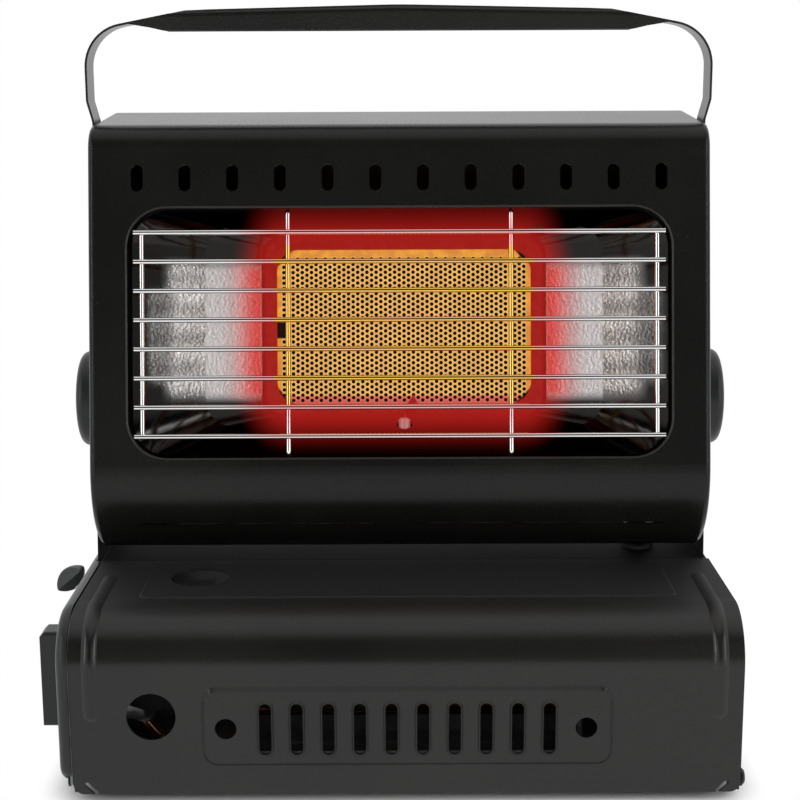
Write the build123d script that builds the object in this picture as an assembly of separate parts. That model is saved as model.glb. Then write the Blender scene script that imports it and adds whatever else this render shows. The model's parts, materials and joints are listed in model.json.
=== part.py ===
from build123d import *
import os
from math import atan2, cos, degrees, radians, sin, sqrt, tan

# Portable propane heater: a pressed-steel base that holds a gas canister, and a radiant burner head
# that tilts between two arms. Millimetres, +Z up, front towards -Y. The origin is on the floor, under
# the middle of the base.

# ---------------------------------------------------------------- driving dimensions
SHEET = 1.0            # pressed steel sheet
SEAT = 0.3             # gap between a moving piece and what it lies against
FIT = 0.05             # radial clearance of a shaft in its hole

# base
BASE_D = 185.0         # front to back
BASE_TOP = 80.0        # floor to the top of the deck
BEND_R = 22.5          # front top bend of the base
FOOT_H = 6.0           # floor to the underside of the tray
FOOT_R = 7.0
COVER_LOW = 3.7        # lower edge of the cover
COVER_REAR = -9.5      # rear edge of the cover on the deck
CORNER_R = 4.5         # lower corners of the cover's front wall
RELIEF_L, RELIEF_W, RELIEF_IN = 7.0, 1.8, 7.6      # slanted slot beside each lower corner
COVER_FLANGE = 7.5     # inner edge of the flange at the cover's left end
COVER_GAP = 0.6        # cover to rear deck, and cover to side wall
HINGE_IN = 4.5         # hinge axis behind the cover's front face
HINGE_UP = 8.5         # hinge axis above the floor
HINGE_PIN_R = 2.0
RIVET_HEAD_R = 4.0
RIVET_HEAD_T = 2.0
WALL_INSET = 1.4       # side walls inside the cover's outline
PANEL_OUT = 3.5        # left end panel beyond the arm
PANEL_RIM = 5.1        # depth of the end panel's rim
PANEL_LOW = 7.6        # lower edge of the end panel
PANEL_ROUND = 4.0      # rounding round its outer face
PANEL_LOW_R, PANEL_REAR_R = 8.0, 10.0      # its lower corners and its rear top corner
PANEL_SCREW_R, PANEL_SCREW_IN, PANEL_SCREW_Z = 1.5, 16.0, 22.0
RIVET_SHANK_R = 1.6
DECK_BEND = 6.0        # rear bend of the deck

# canister and valve
CAN_R = 33.5
CAN_CLEAR = 1.0        # canister to the cover's front wall
CAN_UP = 43.0          # canister axis above the floor
CAN_LEFT = -92.0       # left end of the canister bay
CAN_RIGHT = 94.0       # right end of the canister bay
REG_R = 19.0           # regulator body
FLANGE_W, FLANGE_H = 44.0, 40.0      # its mounting flange
SOCKET_R = 15.0
SPINDLE_R = 4.0
PIPE_R = 2.4           # copper gas pipe
FLEX_R = 4.0           # flexible gas pipe
PIPE_Y, PIPE_UP, PIPE_TURN_X = -25.0, 12.0, 80.0
FLEX_X, FLEX_Y, FLEX_LOW = 112.0, 12.0, 60.0
INLET_Z = 152.0        # upper end of the flexible pipe
PARTITION_Y = -20.0
SOCKET_LENGTH = 14.0
OUTLET_X, OUTLET_BACK, OUTLET_Z = -113.0, 3.0, 22.0

# front panel features of the cover
BOSS_W, BOSS_H, BOSS_R, BOSS_OUT = 171.2, 34.7, 6.6, 1.6
BOSS_X, BOSS_Z = 2.5, 33.7
SLOT_COUNT, SLOT_PITCH, SLOT_W, SLOT_H, SLOT_Z = 10, 13.1, 5.1, 22.5, 33.2
LIP, LIP_OUT = 0.9, 0.7        # width and height of the drawn lip round a slot
PEEP_R, PEEP_X, PEEP_Z = 10.25, -104.0, 38.0
HOLE_R, HOLE_XS = 4.5, (-72.9, 76.8)
TOP_BOSS_X0, TOP_BOSS_X1, TOP_BOSS_Y = -112.4, 118.4, -64.4
TOP_HOLE_R, TOP_HOLE_X, TOP_HOLE_Y = 13.0, -89.0, -37.0
BEAD_W, BEAD_OUT, BEAD_XS, BEAD_LOW, BEAD_REAR = 6.5, 1.2, (-129.0, 132.2), 36.0, -32.0

# control knob
KNOB_CLEAR = 0.2       # knob to end panel
DISC_R, DISC_T = 18.0, 2.4
BAR_OUT, BAR_W, BAR_L = 12.0, 12.0, 43.0       # raised bar: how far out, its width and its length
SPINDLE_IN = 8.0       # spindle's length inside the knob

# lever and pusher
LEVER_Y = 5.0
LEVER_X, LEVER_Z = -105.0, 49.0
LEVER_T = 2.0
LEVER_PIN_R = 2.5
LEVER_CRANK = 12.0     # pivot to the crank pin
CLIP_R, CLIP_T = 4.2, 0.6      # spring clip on the pivot pin
PADDLE_X, PADDLE_Z = -155.6, 67.0
PADDLE_W, PADDLE_H, PADDLE_T, PADDLE_EDGE = 10.5, 15.0, 7.0, 2.4
SLOT_LOW, SLOT_HIGH = 39.5, 67.5
PUSHER_X = 100.0
PUSHER_T = 1.5

# head
HEAD_W = 272.0
HEAD_REAR = 54.0
HEAD_GAP = 3.0         # head side to arm
LEAN = 10.84           # lean of the face, degrees
FACE_Y, FACE_Z = -27.6, 188.8   # middle of the window on the face
WINDOW_W, WINDOW_H, WINDOW_R = 238.0, 109.4, 17.5
WINDOW_LIP = 5.0       # depth of the turned-in window edge
CHIN_R, CHIN_END, CHIN_LOW = 38.0, 82.0, 86.5      # chin's bend, its turn past level, its lowest line
TOP_Z, TOP_SLOPE, TOP_R = 278.0, 4.2, 12.0   # top plane at Y = 0, its rise to the rear, front bend
BOTTOM_REAR_Z = 97.0
EDGE_R = 2.5
FLANGE = 7.0           # rear flange of the shell
VENT_COUNT, VENT_PITCH, VENT_W, VENT_H, VENT_V = 12, 20.8, 5.2, 11.5, 67.7
SLIT_ANGLES, SLIT_X0, SLIT_X1, SLIT_H = (33.0, 57.0), 12.5, 117.0, 1.6
LOUVRE_COUNT, LOUVRE_PITCH, LOUVRE_W, LOUVRE_H = 8, 29.0, 22.0, 3.2      # one row of the back panel

# tilt pivot
PIVOT_Y, PIVOT_Z = 23.0, 150.0
STUD_R = 3.0
ARM_R = 22.0           # rounded top end of an arm
ARM_FOOT_Y1, ARM_LOW = 57.0, 22.0
KNOB_R, KNOB_T = 22.2, 9.0
WASHER_R = 15.0

# burner and reflector, depths behind the face
BURNER_X, BURNER_V = 2.0, 3.7   # middle of the burner from the middle of the window
VENTURI_DEPTH, VENTURI_X0, VENTURI_X1 = 54.5, 20.0, 96.0
INJECTOR_X = 104.0
ELECTRODE_DEPTH = 28.0
INSULATOR_R, ROD_R, INJECTOR_R = 2.7, 0.8, 3.0
REFLECTOR_T = 0.8
REFLECTOR_STEPS = (
    # depth, width, height and corner radius of the dish at its rim, its fold and its floor
    (WINDOW_LIP + SEAT, WINDOW_W - 2, WINDOW_H - 2, WINDOW_R - 1),
    (27.0, 180.0, 90.0, 12.0),
    (34.0, 130.0, 82.0, 8.0),
)
PLAQUE_DEPTH = 35.1
PLAQUE_W, PLAQUE_H, PLAQUE_T = 120.0, 74.5, 10.0
FRAME_WINDOW_W, FRAME_WINDOW_H, FRAME_WINDOW_R = 116.0, 70.5, 10.0
GASKET_T = 1.8
BOX_DEPTH = 30.0
VENTURI_R = 8.0
WIRE_R = 1.15
WIRE_COUNT, WIRE_PITCH, WIRE_TOP_V, WIRE_L = 8, 12.73, 44.0, 232.0
END_WIRE_X, LONG_WIRE_X, LONG_WIRE_V = 112.8, 48.8, 53.2

# handle
STRAP_W, STRAP_T = 16.0, 1.0
HANDLE_Y, HANDLE_Z = 17.0, 262.0
STRAP_OUT = 139.7      # outer face of the handle's upright straps
SHOULDER_Z, SHOULDER_X = 318.2, 94.0
GRIP_TOP = 329.6
GRIP_W, GRIP_H, GRIP_END = 18.0, 11.0, 121.0
BAIL_R = 19.0

# ---------------------------------------------------------------- derived places
FRONT, REAR = -BASE_D / 2, BASE_D / 2
HEAD_HALF = HEAD_W / 2
ARM_X = HEAD_HALF + HEAD_GAP              # inner face of an arm, outer face of a side wall
WALL_X = ARM_X - SHEET                    # inner face of a side wall
ARM_OUT = ARM_X + SHEET
COVER_X0 = -(WALL_X - 0.5)
COVER_X1 = ARM_OUT + 2 * SHEET
PANEL_X = -(ARM_OUT + PANEL_OUT)          # outer face of the left end panel
HINGE_Y = FRONT + HINGE_IN
ARM_FOOT_Y0 = COVER_REAR + 1.0            # front edge of an arm at the deck
CHIN_Z = CHIN_LOW + CHIN_R                # middle of the chin's bend, tangent to the face
CHIN_Y = FACE_Y + (CHIN_R + (CHIN_Z - FACE_Z) * sin(radians(LEAN))) / cos(radians(LEAN))
FLOOR = FOOT_H + SHEET                    # top of the tray's floor
DECK = BASE_TOP - SHEET                   # underside of the deck
CAN_Y = FRONT + SHEET + CAN_CLEAR + CAN_R
REG_FACE = CAN_LEFT - SOCKET_LENGTH - 2
SOCKET_FACE = CAN_LEFT - 2
OUTLET_Y = CAN_Y + OUTLET_BACK
GROMMET_R = FLEX_R + 3.5
PANEL_SCREW_YS = (FRONT + PANEL_SCREW_IN, REAR - PANEL_SCREW_IN)
FACE = Plane(
    origin=(0, FACE_Y, FACE_Z),
    x_dir=(1, 0, 0),
    z_dir=(0, -cos(radians(LEAN)), sin(radians(LEAN))),
)
BURNER = FACE * Pos(BURNER_X, BURNER_V, 0)
BOX_W = PLAQUE_W + 2 * GASKET_T + 0.4 + 2 * SHEET
BOX_BACK = REFLECTOR_STEPS[-1][0] + REFLECTOR_T + BOX_DEPTH
INJECTOR_Y = FACE_Y + VENTURI_DEPTH * cos(radians(LEAN)) + BURNER_V * sin(radians(LEAN))
INJECTOR_Z = FACE_Z - VENTURI_DEPTH * sin(radians(LEAN)) + BURNER_V * cos(radians(LEAN))

os.makedirs("parts", exist_ok=True)


def write(node, shape):
    shape.label = node
    export_step(shape, f"parts/{node}.step")


def side_slab(sketch, x0, x1):
    """A sketch drawn in (Y, Z), as a slab from x0 to x1."""
    return extrude(Plane.YZ.offset(x0) * sketch, amount=x1 - x0)


def behind_face(x, v, depth):
    """A place on the head: x across, v up the face, depth behind it."""
    return FACE * Pos(x, v, -depth)


def rod_x(radius, x0, x1, y, z):
    return Pos((x0 + x1) / 2, y, z) * Rot(0, 90, 0) * Cylinder(radius, abs(x1 - x0))


def block(x0, x1, y0, y1, z0, z1):
    return Pos((x0 + x1) / 2, (y0 + y1) / 2, (z0 + z1) / 2) * Box(x1 - x0, y1 - y0, z1 - z0)


def lathe_x(points, y, z):
    """A turned piece on an axis along X: points are (x, radius)."""
    outline = [(x, r) for x, r in points] + [(points[-1][0], 0), (points[0][0], 0)]
    section = make_face(Polyline(*outline, close=True))
    return Pos(0, y, z) * revolve(section, Axis.X)


# ---------------------------------------------------------------- base outline
def base_outline(inset, rear, low):
    """The base seen from the side, inside its outer skin by inset."""
    front, top, radius = FRONT + inset, BASE_TOP - inset, BEND_R - inset
    return make_face(
        Polyline((front, top - radius), (front, low), (rear, low), (rear, top), (front + radius, top))
        + CenterArc((front + radius, top - radius), radius, 90, 90)
    )


def base_tray():
    walls = base_outline(WALL_INSET, REAR - SHEET - SEAT, FOOT_H)
    front_low = walls.vertices().sort_by(Axis.Y)[:2].sort_by(Axis.X)[0]
    walls = fillet(front_low, HINGE_UP - FOOT_H)
    walls = fillet(walls.vertices().group_by(Axis.Y)[-1].sort_by(Axis.X)[-1], DECK_BEND)
    tray = side_slab(walls, -ARM_X, -WALL_X) + side_slab(walls, WALL_X, ARM_X)
    tray += block(-WALL_X, WALL_X, HINGE_Y + 5, REAR - SHEET - SEAT, FOOT_H, FLOOR)
    for x in range(-100, 101, 40):
        tray -= Pos(x, PARTITION_Y + 60, FOOT_H) * extrude(SlotOverall(28, 5), amount=SHEET)
    for side in (-1, 1):
        x0, x1 = sorted((side * (WALL_X - 8), side * WALL_X))
        tray -= block(x0, x1, HINGE_Y, HINGE_Y + 7, FOOT_H - 1, FLOOR + 1)
        tray -= rod_x(HINGE_PIN_R + FIT, side * (WALL_X - 1), side * (ARM_X + 1), HINGE_Y, HINGE_UP)
    for y in PANEL_SCREW_YS:
        tray -= rod_x(PANEL_SCREW_R + FIT, -ARM_X - 1, -WALL_X + 1, y, PANEL_SCREW_Z)
    tray -= rod_x(SPINDLE_R + 6, -ARM_X - 1, -WALL_X + 1, CAN_Y, CAN_UP)
    tray -= lever_slot(-ARM_X, -WALL_X)
    for y, z in arm_rivet_places():
        for side in (-1, 1):
            tray -= rod_x(RIVET_SHANK_R + FIT, side * (WALL_X - 1), side * (ARM_X + 1), y, z)
    return tray


def lever_slot(x0, x1):
    slot = SlotOverall(SLOT_HIGH - SLOT_LOW, LEVER_T + 3, rotation=90)
    return side_slab(Pos(LEVER_Y, (SLOT_LOW + SLOT_HIGH) / 2) * slot, x0 - 1, x1 + 1)


def rear_deck():
    """Deck and rear wall, bent from one sheet."""
    y0, y1, z1 = COVER_REAR + COVER_GAP, REAR - DECK_BEND, BASE_TOP - DECK_BEND
    lip = y0 + SHEET
    outline = make_face(
        CenterArc((y1, z1), DECK_BEND, 0, 90)
        + Polyline((y1, BASE_TOP), (y0, BASE_TOP), (y0, DECK - 8), (lip, DECK - 8), (lip, DECK), (y1, DECK))
        + CenterArc((y1, z1), DECK_BEND - SHEET, 0, 90)
        + Polyline((REAR - SHEET, z1), (REAR - SHEET, FLOOR), (REAR, FLOOR), (REAR, z1))
    )
    deck = side_slab(outline, COVER_X0, COVER_X1 - SHEET)
    clear = 0.4
    deck -= block(ARM_X - clear, ARM_OUT + clear, y0 - 1, ARM_FOOT_Y1 + clear, DECK - 1, BASE_TOP + 1)
    deck -= block(WALL_X - 0.4, COVER_X1, y0 - 1, lip, DECK - 9, DECK)
    for i in range(SLOT_COUNT):
        x = (i - (SLOT_COUNT - 1) / 2) * SLOT_PITCH * 1.6
        slot = Plane.XZ.offset(-REAR - 1) * Pos(x, 46) * SlotOverall(SLOT_H, SLOT_W, rotation=90)
        deck -= extrude(slot, amount=SHEET + 2)
    deck -= Pos(FLEX_X, FLEX_Y, DECK) * Cylinder(GROMMET_R - 1.5, 10)
    return deck


def deck_grommet():
    """Rubber grommet, snapped in the deck round the flexible pipe."""
    bore, neck, rim, lip = FLEX_R + 0.4, GROMMET_R - 1.6, GROMMET_R, 1.6
    section = make_face(
        Polyline(
            (bore, DECK - lip), (rim, DECK - lip), (rim, DECK), (neck, DECK), (neck, BASE_TOP),
            (rim, BASE_TOP), (rim - 0.6, BASE_TOP + lip), (bore, BASE_TOP + lip), close=True,
        )
    )
    return Pos(FLEX_X, FLEX_Y, 0) * revolve(Plane.XZ * section, Axis.Z)


def rounded_outline(inset):
    """The end panel's outline: the base outline with rounded rear and lower corners."""
    outline = base_outline(inset, REAR - inset, PANEL_LOW + inset)
    low = outline.vertices().group_by(Axis.Y)[0]
    outline = fillet(low, PANEL_LOW_R - inset)
    rear_top = outline.vertices().group_by(Axis.Y)[-1].sort_by(Axis.X)[-1]
    return fillet(rear_top, PANEL_REAR_R - inset)


def left_end_panel():
    skin = 1.2
    inner_face = PANEL_X + PANEL_RIM
    panel = side_slab(rounded_outline(0), PANEL_X, inner_face)
    panel = fillet(panel.faces().sort_by(Axis.X)[0].edges(), PANEL_ROUND)
    hollow = side_slab(rounded_outline(skin), PANEL_X + skin, inner_face + 1)
    hollow = fillet(hollow.faces().sort_by(Axis.X)[0].edges(), PANEL_ROUND - skin)
    panel -= hollow
    panel -= rod_x(SPINDLE_R + 1.5, PANEL_X - 1, inner_face, CAN_Y, CAN_UP)
    panel -= lever_slot(PANEL_X, inner_face)
    # the rim clears the side wall, the hinge rivet and the arm
    panel -= side_slab(base_outline(WALL_INSET - 0.15, REAR - SHEET, FOOT_H), -ARM_X - 0.15, inner_face + 1)
    panel -= rod_x(RIVET_HEAD_R, -ARM_OUT - 1, inner_face + 1, HINGE_Y, HINGE_UP)
    panel -= block(-ARM_OUT - 0.4, inner_face + 1, ARM_FOOT_Y0 - 1, ARM_FOOT_Y1 + 1, DECK - 3, BASE_TOP + 1)
    for y in PANEL_SCREW_YS:
        panel += rod_x(4.0, PANEL_X + skin, -ARM_X, y, PANEL_SCREW_Z)
        panel -= rod_x(PANEL_SCREW_R + FIT, PANEL_X - 1, -ARM_X + 1, y, PANEL_SCREW_Z)
    return panel


def panel_screws():
    """Slotted pan-head screws through the end panel into the side wall."""
    screws = []
    for y in PANEL_SCREW_YS:
        head = rod_x(2.9, PANEL_X - 1.8, PANEL_X, y, PANEL_SCREW_Z)
        head = chamfer(head.faces().sort_by(Axis.X)[0].edges(), 0.9)
        head -= block(PANEL_X - 3, PANEL_X - 1.1, y - 2, y + 2, PANEL_SCREW_Z - 0.4, PANEL_SCREW_Z + 0.4)
        screws.append(head + rod_x(PANEL_SCREW_R, PANEL_X - 0.5, -WALL_X + 1.5, y, PANEL_SCREW_Z))
    return Compound(children=screws)


def arm_rivet_places():
    return [(ARM_FOOT_Y0 + 10, 30.0), (ARM_FOOT_Y1 - 8, 30.0), (ARM_FOOT_Y1 - 8, 66.0)]


def support_arm(side):
    """Flat bracket riveted outside the side wall, with a rounded end round the tilt axis."""
    foot_w, foot_h = ARM_FOOT_Y1 - ARM_FOOT_Y0, DECK - ARM_LOW
    foot = Pos(ARM_FOOT_Y0 + foot_w / 2, ARM_LOW + foot_h / 2) * RectangleRounded(foot_w, foot_h, 4)
    shoulder = Line((ARM_FOOT_Y0, DECK - 8), (ARM_FOOT_Y1, DECK - 8))
    outline = make_hull((shoulder + CenterArc((PIVOT_Y, PIVOT_Z), ARM_R, 0, 360)).edges()) + foot
    x0, x1 = sorted((side * ARM_X, side * ARM_OUT))
    arm = side_slab(outline, x0, x1)
    arm -= rod_x(STUD_R + FIT, x0 - 1, x1 + 1, PIVOT_Y, PIVOT_Z)
    for y, z in arm_rivet_places():
        arm -= rod_x(RIVET_SHANK_R + FIT, x0 - 1, x1 + 1, y, z)
    if side < 0:
        arm -= lever_slot(x0, x1)
    return arm


def arm_rivets():
    """Round-head rivets through the arms and side walls."""
    rivets = []
    for y, z in arm_rivet_places():
        for side in (-1, 1):
            rivet = rod_x(RIVET_SHANK_R, side * (WALL_X - 1.0), side * (ARM_OUT + 0.8), y, z)
            head = rod_x(3.0, side * ARM_OUT, side * (ARM_OUT + 1.4), y, z)
            head = chamfer(head.faces().sort_by(Axis.X)[-1 if side > 0 else 0].edges(), 0.8)
            tail = rod_x(2.6, side * (WALL_X - 1.0), side * WALL_X, y, z)
            rivets.append(rivet + head + tail)
    return Compound(children=rivets)


def partition():
    """Heat shield between the canister bay and the rear space."""
    x0, x1 = -WALL_X, CAN_RIGHT - 1
    wall = block(x0, x1, PARTITION_Y, PARTITION_Y + SHEET, FLOOR, DECK)
    wall += block(x0, x1, PARTITION_Y, PARTITION_Y + 10, FLOOR, FLOOR + SHEET)
    wall += block(x0, x1, PARTITION_Y, PARTITION_Y + 6, DECK - SHEET, DECK)
    half = PIPE_R + 1.2
    gap = block(-half, half, -1, 11, FLOOR, PIPE_UP + half)
    corner = block(x0, COVER_X0 + SHEET + 1, PARTITION_Y, 0, BASE_TOP - COVER_FLANGE - 1, BASE_TOP)
    return wall - Pos(PIPE_TURN_X, PARTITION_Y, 0) * gap - corner


def canister_cradle():
    """Bent sheet on the floor with two raised rails that carry the canister."""
    half = 20.0
    rail_top = CAN_UP - sqrt((CAN_R + SEAT) ** 2 - half**2)
    cradle = block(-70, 70, CAN_Y - half, CAN_Y + half, FLOOR, rail_top)
    cradle -= block(-70, 70, CAN_Y - half + SHEET, CAN_Y + half - SHEET, FLOOR + SHEET, rail_top)
    for x in (-40, 0, 40):
        cradle -= Pos(x, CAN_Y, FLOOR) * extrude(SlotOverall(26, 16), amount=SHEET)
    return cradle


def gas_regulator():
    """Die-cast regulator and valve body on the left side wall, with the canister socket."""
    back = -WALL_X
    flange = side_slab(Pos(CAN_Y, CAN_UP) * RectangleRounded(FLANGE_W, FLANGE_H, 5), back, back + 2)
    body = rod_x(REG_R, back + 2, REG_FACE, CAN_Y, CAN_UP)
    body = chamfer(body.faces().sort_by(Axis.X)[-1].edges(), 2.5)
    socket = rod_x(SOCKET_R, REG_FACE, SOCKET_FACE, CAN_Y, CAN_UP)
    socket -= rod_x(SOCKET_R - 3, REG_FACE, SOCKET_FACE + 1, CAN_Y, CAN_UP)
    socket -= block(SOCKET_FACE - 8, SOCKET_FACE + 1, CAN_Y - 3, CAN_Y + 3, CAN_UP, CAN_UP + SOCKET_R + 1)
    outlet = Pos(OUTLET_X, OUTLET_Y, (CAN_UP + OUTLET_Z) / 2) * Cylinder(4.5, CAN_UP - OUTLET_Z)
    probe = rod_x(2.5, REG_FACE - 1, SOCKET_FACE - 3, CAN_Y, CAN_UP)
    regulator = flange + body + outlet + socket + probe
    regulator -= rod_x(SPINDLE_R + FIT, back - 1, back + 14, CAN_Y, CAN_UP)
    regulator -= Pos(OUTLET_X, OUTLET_Y, OUTLET_Z) * Cylinder(PIPE_R + FIT, 12)
    return regulator


def socket_seal():
    """Rubber ring at the foot of the canister socket."""
    ring = rod_x(SOCKET_R - 3.3, REG_FACE, REG_FACE + 2, CAN_Y, CAN_UP)
    return ring - rod_x(2.9, REG_FACE - 1, REG_FACE + 3, CAN_Y, CAN_UP)


def valve_bracket():
    """Sheet bracket in front of the regulator, folded against the side wall, with a shallow V below."""
    y1 = CAN_Y - FLANGE_W / 2 - SEAT
    y0 = y1 - SHEET
    top, shoulder, back = CAN_UP + 16, CAN_UP - 1, -WALL_X
    x0, x1 = REG_FACE - 8, SOCKET_FACE - 0.5
    outline = Polyline(
        (REG_FACE + 2, CAN_UP - 8), (x1, CAN_UP - 5.2), (x1, top), (back, top), (back, shoulder), (x0, shoulder),
        (x0, CAN_UP - 4.5), close=True,
    )
    plate = extrude(Plane.XZ.offset(-y1) * make_face(outline), amount=SHEET)
    return plate + block(back, back + SHEET, y0 - 4, y1, shoulder, top)


def piezo_igniter():
    """Spark generator beside the regulator, with its terminal."""
    y, z = PARTITION_Y - 7.5, CAN_UP + 14
    body = rod_x(5.0, -WALL_X, -WALL_X + 34, y, z)
    cap = rod_x(6.0, -WALL_X, -WALL_X + 5, y, z)
    return body + cap + rod_x(1.5, -WALL_X + 33, -WALL_X + 39, y, z)


def gas_pipe():
    """Copper pipe from the regulator to the fitting under the deck."""
    route = FilletPolyline(
        (OUTLET_X, OUTLET_Y, OUTLET_Z + 5),
        (OUTLET_X, OUTLET_Y, OUTLET_Z - 1.5),
        (OUTLET_X + 7, OUTLET_Y, PIPE_UP),
        (OUTLET_X + 24, PIPE_Y, PIPE_UP),
        (PIPE_TURN_X, PIPE_Y, PIPE_UP),
        (PIPE_TURN_X, FLEX_Y, PIPE_UP),
        (FLEX_X, FLEX_Y, PIPE_UP),
        (FLEX_X, FLEX_Y, FLEX_LOW),
        radius=[4.0, 6.0, 8.0, 8.0, 8.0, 8.0],
    )
    return sweep(Plane(route ^ 0) * Circle(PIPE_R), path=route)


def flexible_pipe():
    """Flexible metal pipe from the base to the head, with its lower nut."""
    route = FilletPolyline(
        (FLEX_X, FLEX_Y, FLEX_LOW + 1),
        (FLEX_X, FLEX_Y, 105),
        (FLEX_X, INJECTOR_Y, 130),
        (FLEX_X, INJECTOR_Y, INLET_Z),
        radius=18.0,
    )
    pipe = sweep(Plane(route ^ 0) * Circle(FLEX_R), path=route)
    pipe += Pos(FLEX_X, FLEX_Y, FLEX_LOW - 4) * extrude(RegularPolygon(6.0, 6), amount=10)
    pipe -= Pos(FLEX_X, FLEX_Y, FLEX_LOW - 4) * Cylinder(PIPE_R + FIT, 10)
    return pipe


def rubber_feet():
    feet = []
    for x in (-110, 110):
        for y in (FRONT + 24, REAR - 18):
            foot = Pos(x, y, FOOT_H / 2) * Cylinder(FOOT_R, FOOT_H)
            feet.append(chamfer(foot.faces().sort_by(Axis.Z)[0].edges(), 1.2))
    return Compound(children=feet)


# ---------------------------------------------------------------- cover
def bead(x, inset):
    """A round rib pressed over the cover's bend, as a solid inside the rib's outer skin by inset."""
    radius = ((BEAD_W / 2) ** 2 + BEAD_OUT**2) / (2 * BEAD_OUT)      # of the rib's round section
    sunk = radius - BEAD_OUT
    front, top, bend = FRONT + sunk, BASE_TOP - sunk, BEND_R - sunk
    low, rear = BEAD_LOW + BEAD_W / 2, BEAD_REAR - BEAD_W / 2
    route = FilletPolyline((x, front, low), (x, front, top), (x, rear, top), radius=bend)
    rib = sweep(Plane(route ^ 0) * Circle(radius - inset), path=route)
    return rib + Pos(x, front, low) * Sphere(radius - inset) + Pos(x, rear, top) * Sphere(radius - inset)


def canister_cover():
    """Front, bend and top of the base in one pressed sheet, closed at the right end."""
    width = (COVER_X0, COVER_X1)
    skin = base_outline(0, COVER_REAR, COVER_LOW)
    cover = side_slab(skin, *width)
    inner = base_outline(SHEET, COVER_REAR + 1, COVER_LOW - 1)
    cover -= side_slab(inner, COVER_X0 - 1, COVER_X1 - SHEET)
    flange = side_slab(base_outline(SHEET, COVER_REAR, COVER_LOW), COVER_X0, COVER_X0 + SHEET)
    opened = base_outline(COVER_FLANGE, COVER_REAR + 1, COVER_LOW - 1)
    flange -= side_slab(opened, COVER_X0 - 1, COVER_X0 + 2)
    cover += flange

    front = Plane.XZ.offset(-FRONT)           # local z points to the front
    edge = 2 * BOSS_OUT                       # the boss's slope, both sides of it together
    base = front * Pos(BOSS_X, BOSS_Z) * RectangleRounded(BOSS_W, BOSS_H, BOSS_R)
    cover += extrude(base, amount=BOSS_OUT, taper=45)
    floor = RectangleRounded(BOSS_W - edge, BOSS_H - edge, BOSS_R - BOSS_OUT)
    cover -= extrude(front.offset(-SHEET) * Pos(BOSS_X, BOSS_Z) * floor, amount=BOSS_OUT)
    for i in range(SLOT_COUNT):
        x = BOSS_X + (i - (SLOT_COUNT - 1) / 2) * SLOT_PITCH
        lip = SlotOverall(SLOT_H + 2 * LIP, SLOT_W + 2 * LIP, rotation=90)
        slot = SlotOverall(SLOT_H, SLOT_W, rotation=90)
        cover += extrude(front.offset(BOSS_OUT) * Pos(x, SLOT_Z) * lip, amount=LIP_OUT, taper=35)
        cover -= extrude(front.offset(-4) * Pos(x, SLOT_Z) * slot, amount=8)
    for x in HOLE_XS:
        cover -= extrude(front.offset(-4) * Pos(x, SLOT_Z) * Circle(HOLE_R), amount=8)
    cover -= extrude(front.offset(-4) * Pos(PEEP_X, PEEP_Z) * Circle(PEEP_R), amount=8)

    top = Plane.XY.offset(BASE_TOP)
    panel_w, panel_y1 = TOP_BOSS_X1 - TOP_BOSS_X0, COVER_REAR - 6
    panel_h = panel_y1 - TOP_BOSS_Y
    centre = ((TOP_BOSS_X0 + TOP_BOSS_X1) / 2, (TOP_BOSS_Y + panel_y1) / 2)
    cover += extrude(top * Pos(*centre) * RectangleRounded(panel_w, panel_h, 4), amount=0.8, taper=45)
    under = top.offset(-SHEET) * Pos(*centre) * RectangleRounded(panel_w - 3, panel_h - 3, 3)
    cover -= extrude(under, amount=0.8)
    cover -= extrude(top.offset(-4) * Pos(TOP_HOLE_X, TOP_HOLE_Y) * Circle(TOP_HOLE_R), amount=8)

    for x in BEAD_XS:
        cover += bead(x, 0) - side_slab(base_outline(SHEET / 2, 0, 0), x - BEAD_W, x + BEAD_W)
        cover -= bead(x, SHEET)
    for side, x in ((-1, COVER_X0), (1, COVER_X1)):
        inside = x - side * CORNER_R
        corner = Pos((x + inside) / 2, COVER_LOW + CORNER_R / 2) * Rectangle(CORNER_R, CORNER_R)
        corner -= Pos(inside, COVER_LOW + CORNER_R) * Circle(CORNER_R)
        relief = Pos(x - side * RELIEF_IN, COVER_LOW + RELIEF_L / 2 - 1)
        relief *= SlotOverall(RELIEF_L, RELIEF_W, rotation=side * 45)
        cover -= extrude(front.offset(-2 * SHEET) * (corner + relief), amount=3 * SHEET)
    cover -= rod_x(HINGE_PIN_R + FIT, COVER_X0 - 1, COVER_X0 + 2, HINGE_Y, HINGE_UP)
    cover -= rod_x(HINGE_PIN_R + FIT, COVER_X1 - 2, COVER_X1 + 1, HINGE_Y, HINGE_UP)
    return cover


def hinge_rivets():
    """Shouldered rivets in the tray's walls that the cover turns on."""
    left = lathe_x(
        [(COVER_X0 + SHEET + SEAT + 1.2, 3.0), (COVER_X0 + SHEET + SEAT, 3.0),
         (COVER_X0 + SHEET + SEAT, HINGE_PIN_R), (-ARM_X, HINGE_PIN_R), (-ARM_X, 3.0), (-ARM_X - 1.0, 3.0)],
        HINGE_Y, HINGE_UP,
    )
    head = COVER_X1 + 0.2
    right = lathe_x(
        [(WALL_X - 1.0, 3.0), (WALL_X, 3.0), (WALL_X, HINGE_PIN_R), (ARM_X, HINGE_PIN_R), (ARM_X, 3.0),
         (COVER_X1 - SHEET - SEAT, 3.0), (COVER_X1 - SHEET - SEAT, HINGE_PIN_R), (head, HINGE_PIN_R),
         (head, RIVET_HEAD_R), (head + 0.8, RIVET_HEAD_R), (head + RIVET_HEAD_T, RIVET_HEAD_R - 1.2)],
        HINGE_Y, HINGE_UP,
    )
    return Compound(children=[left, right])


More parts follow.
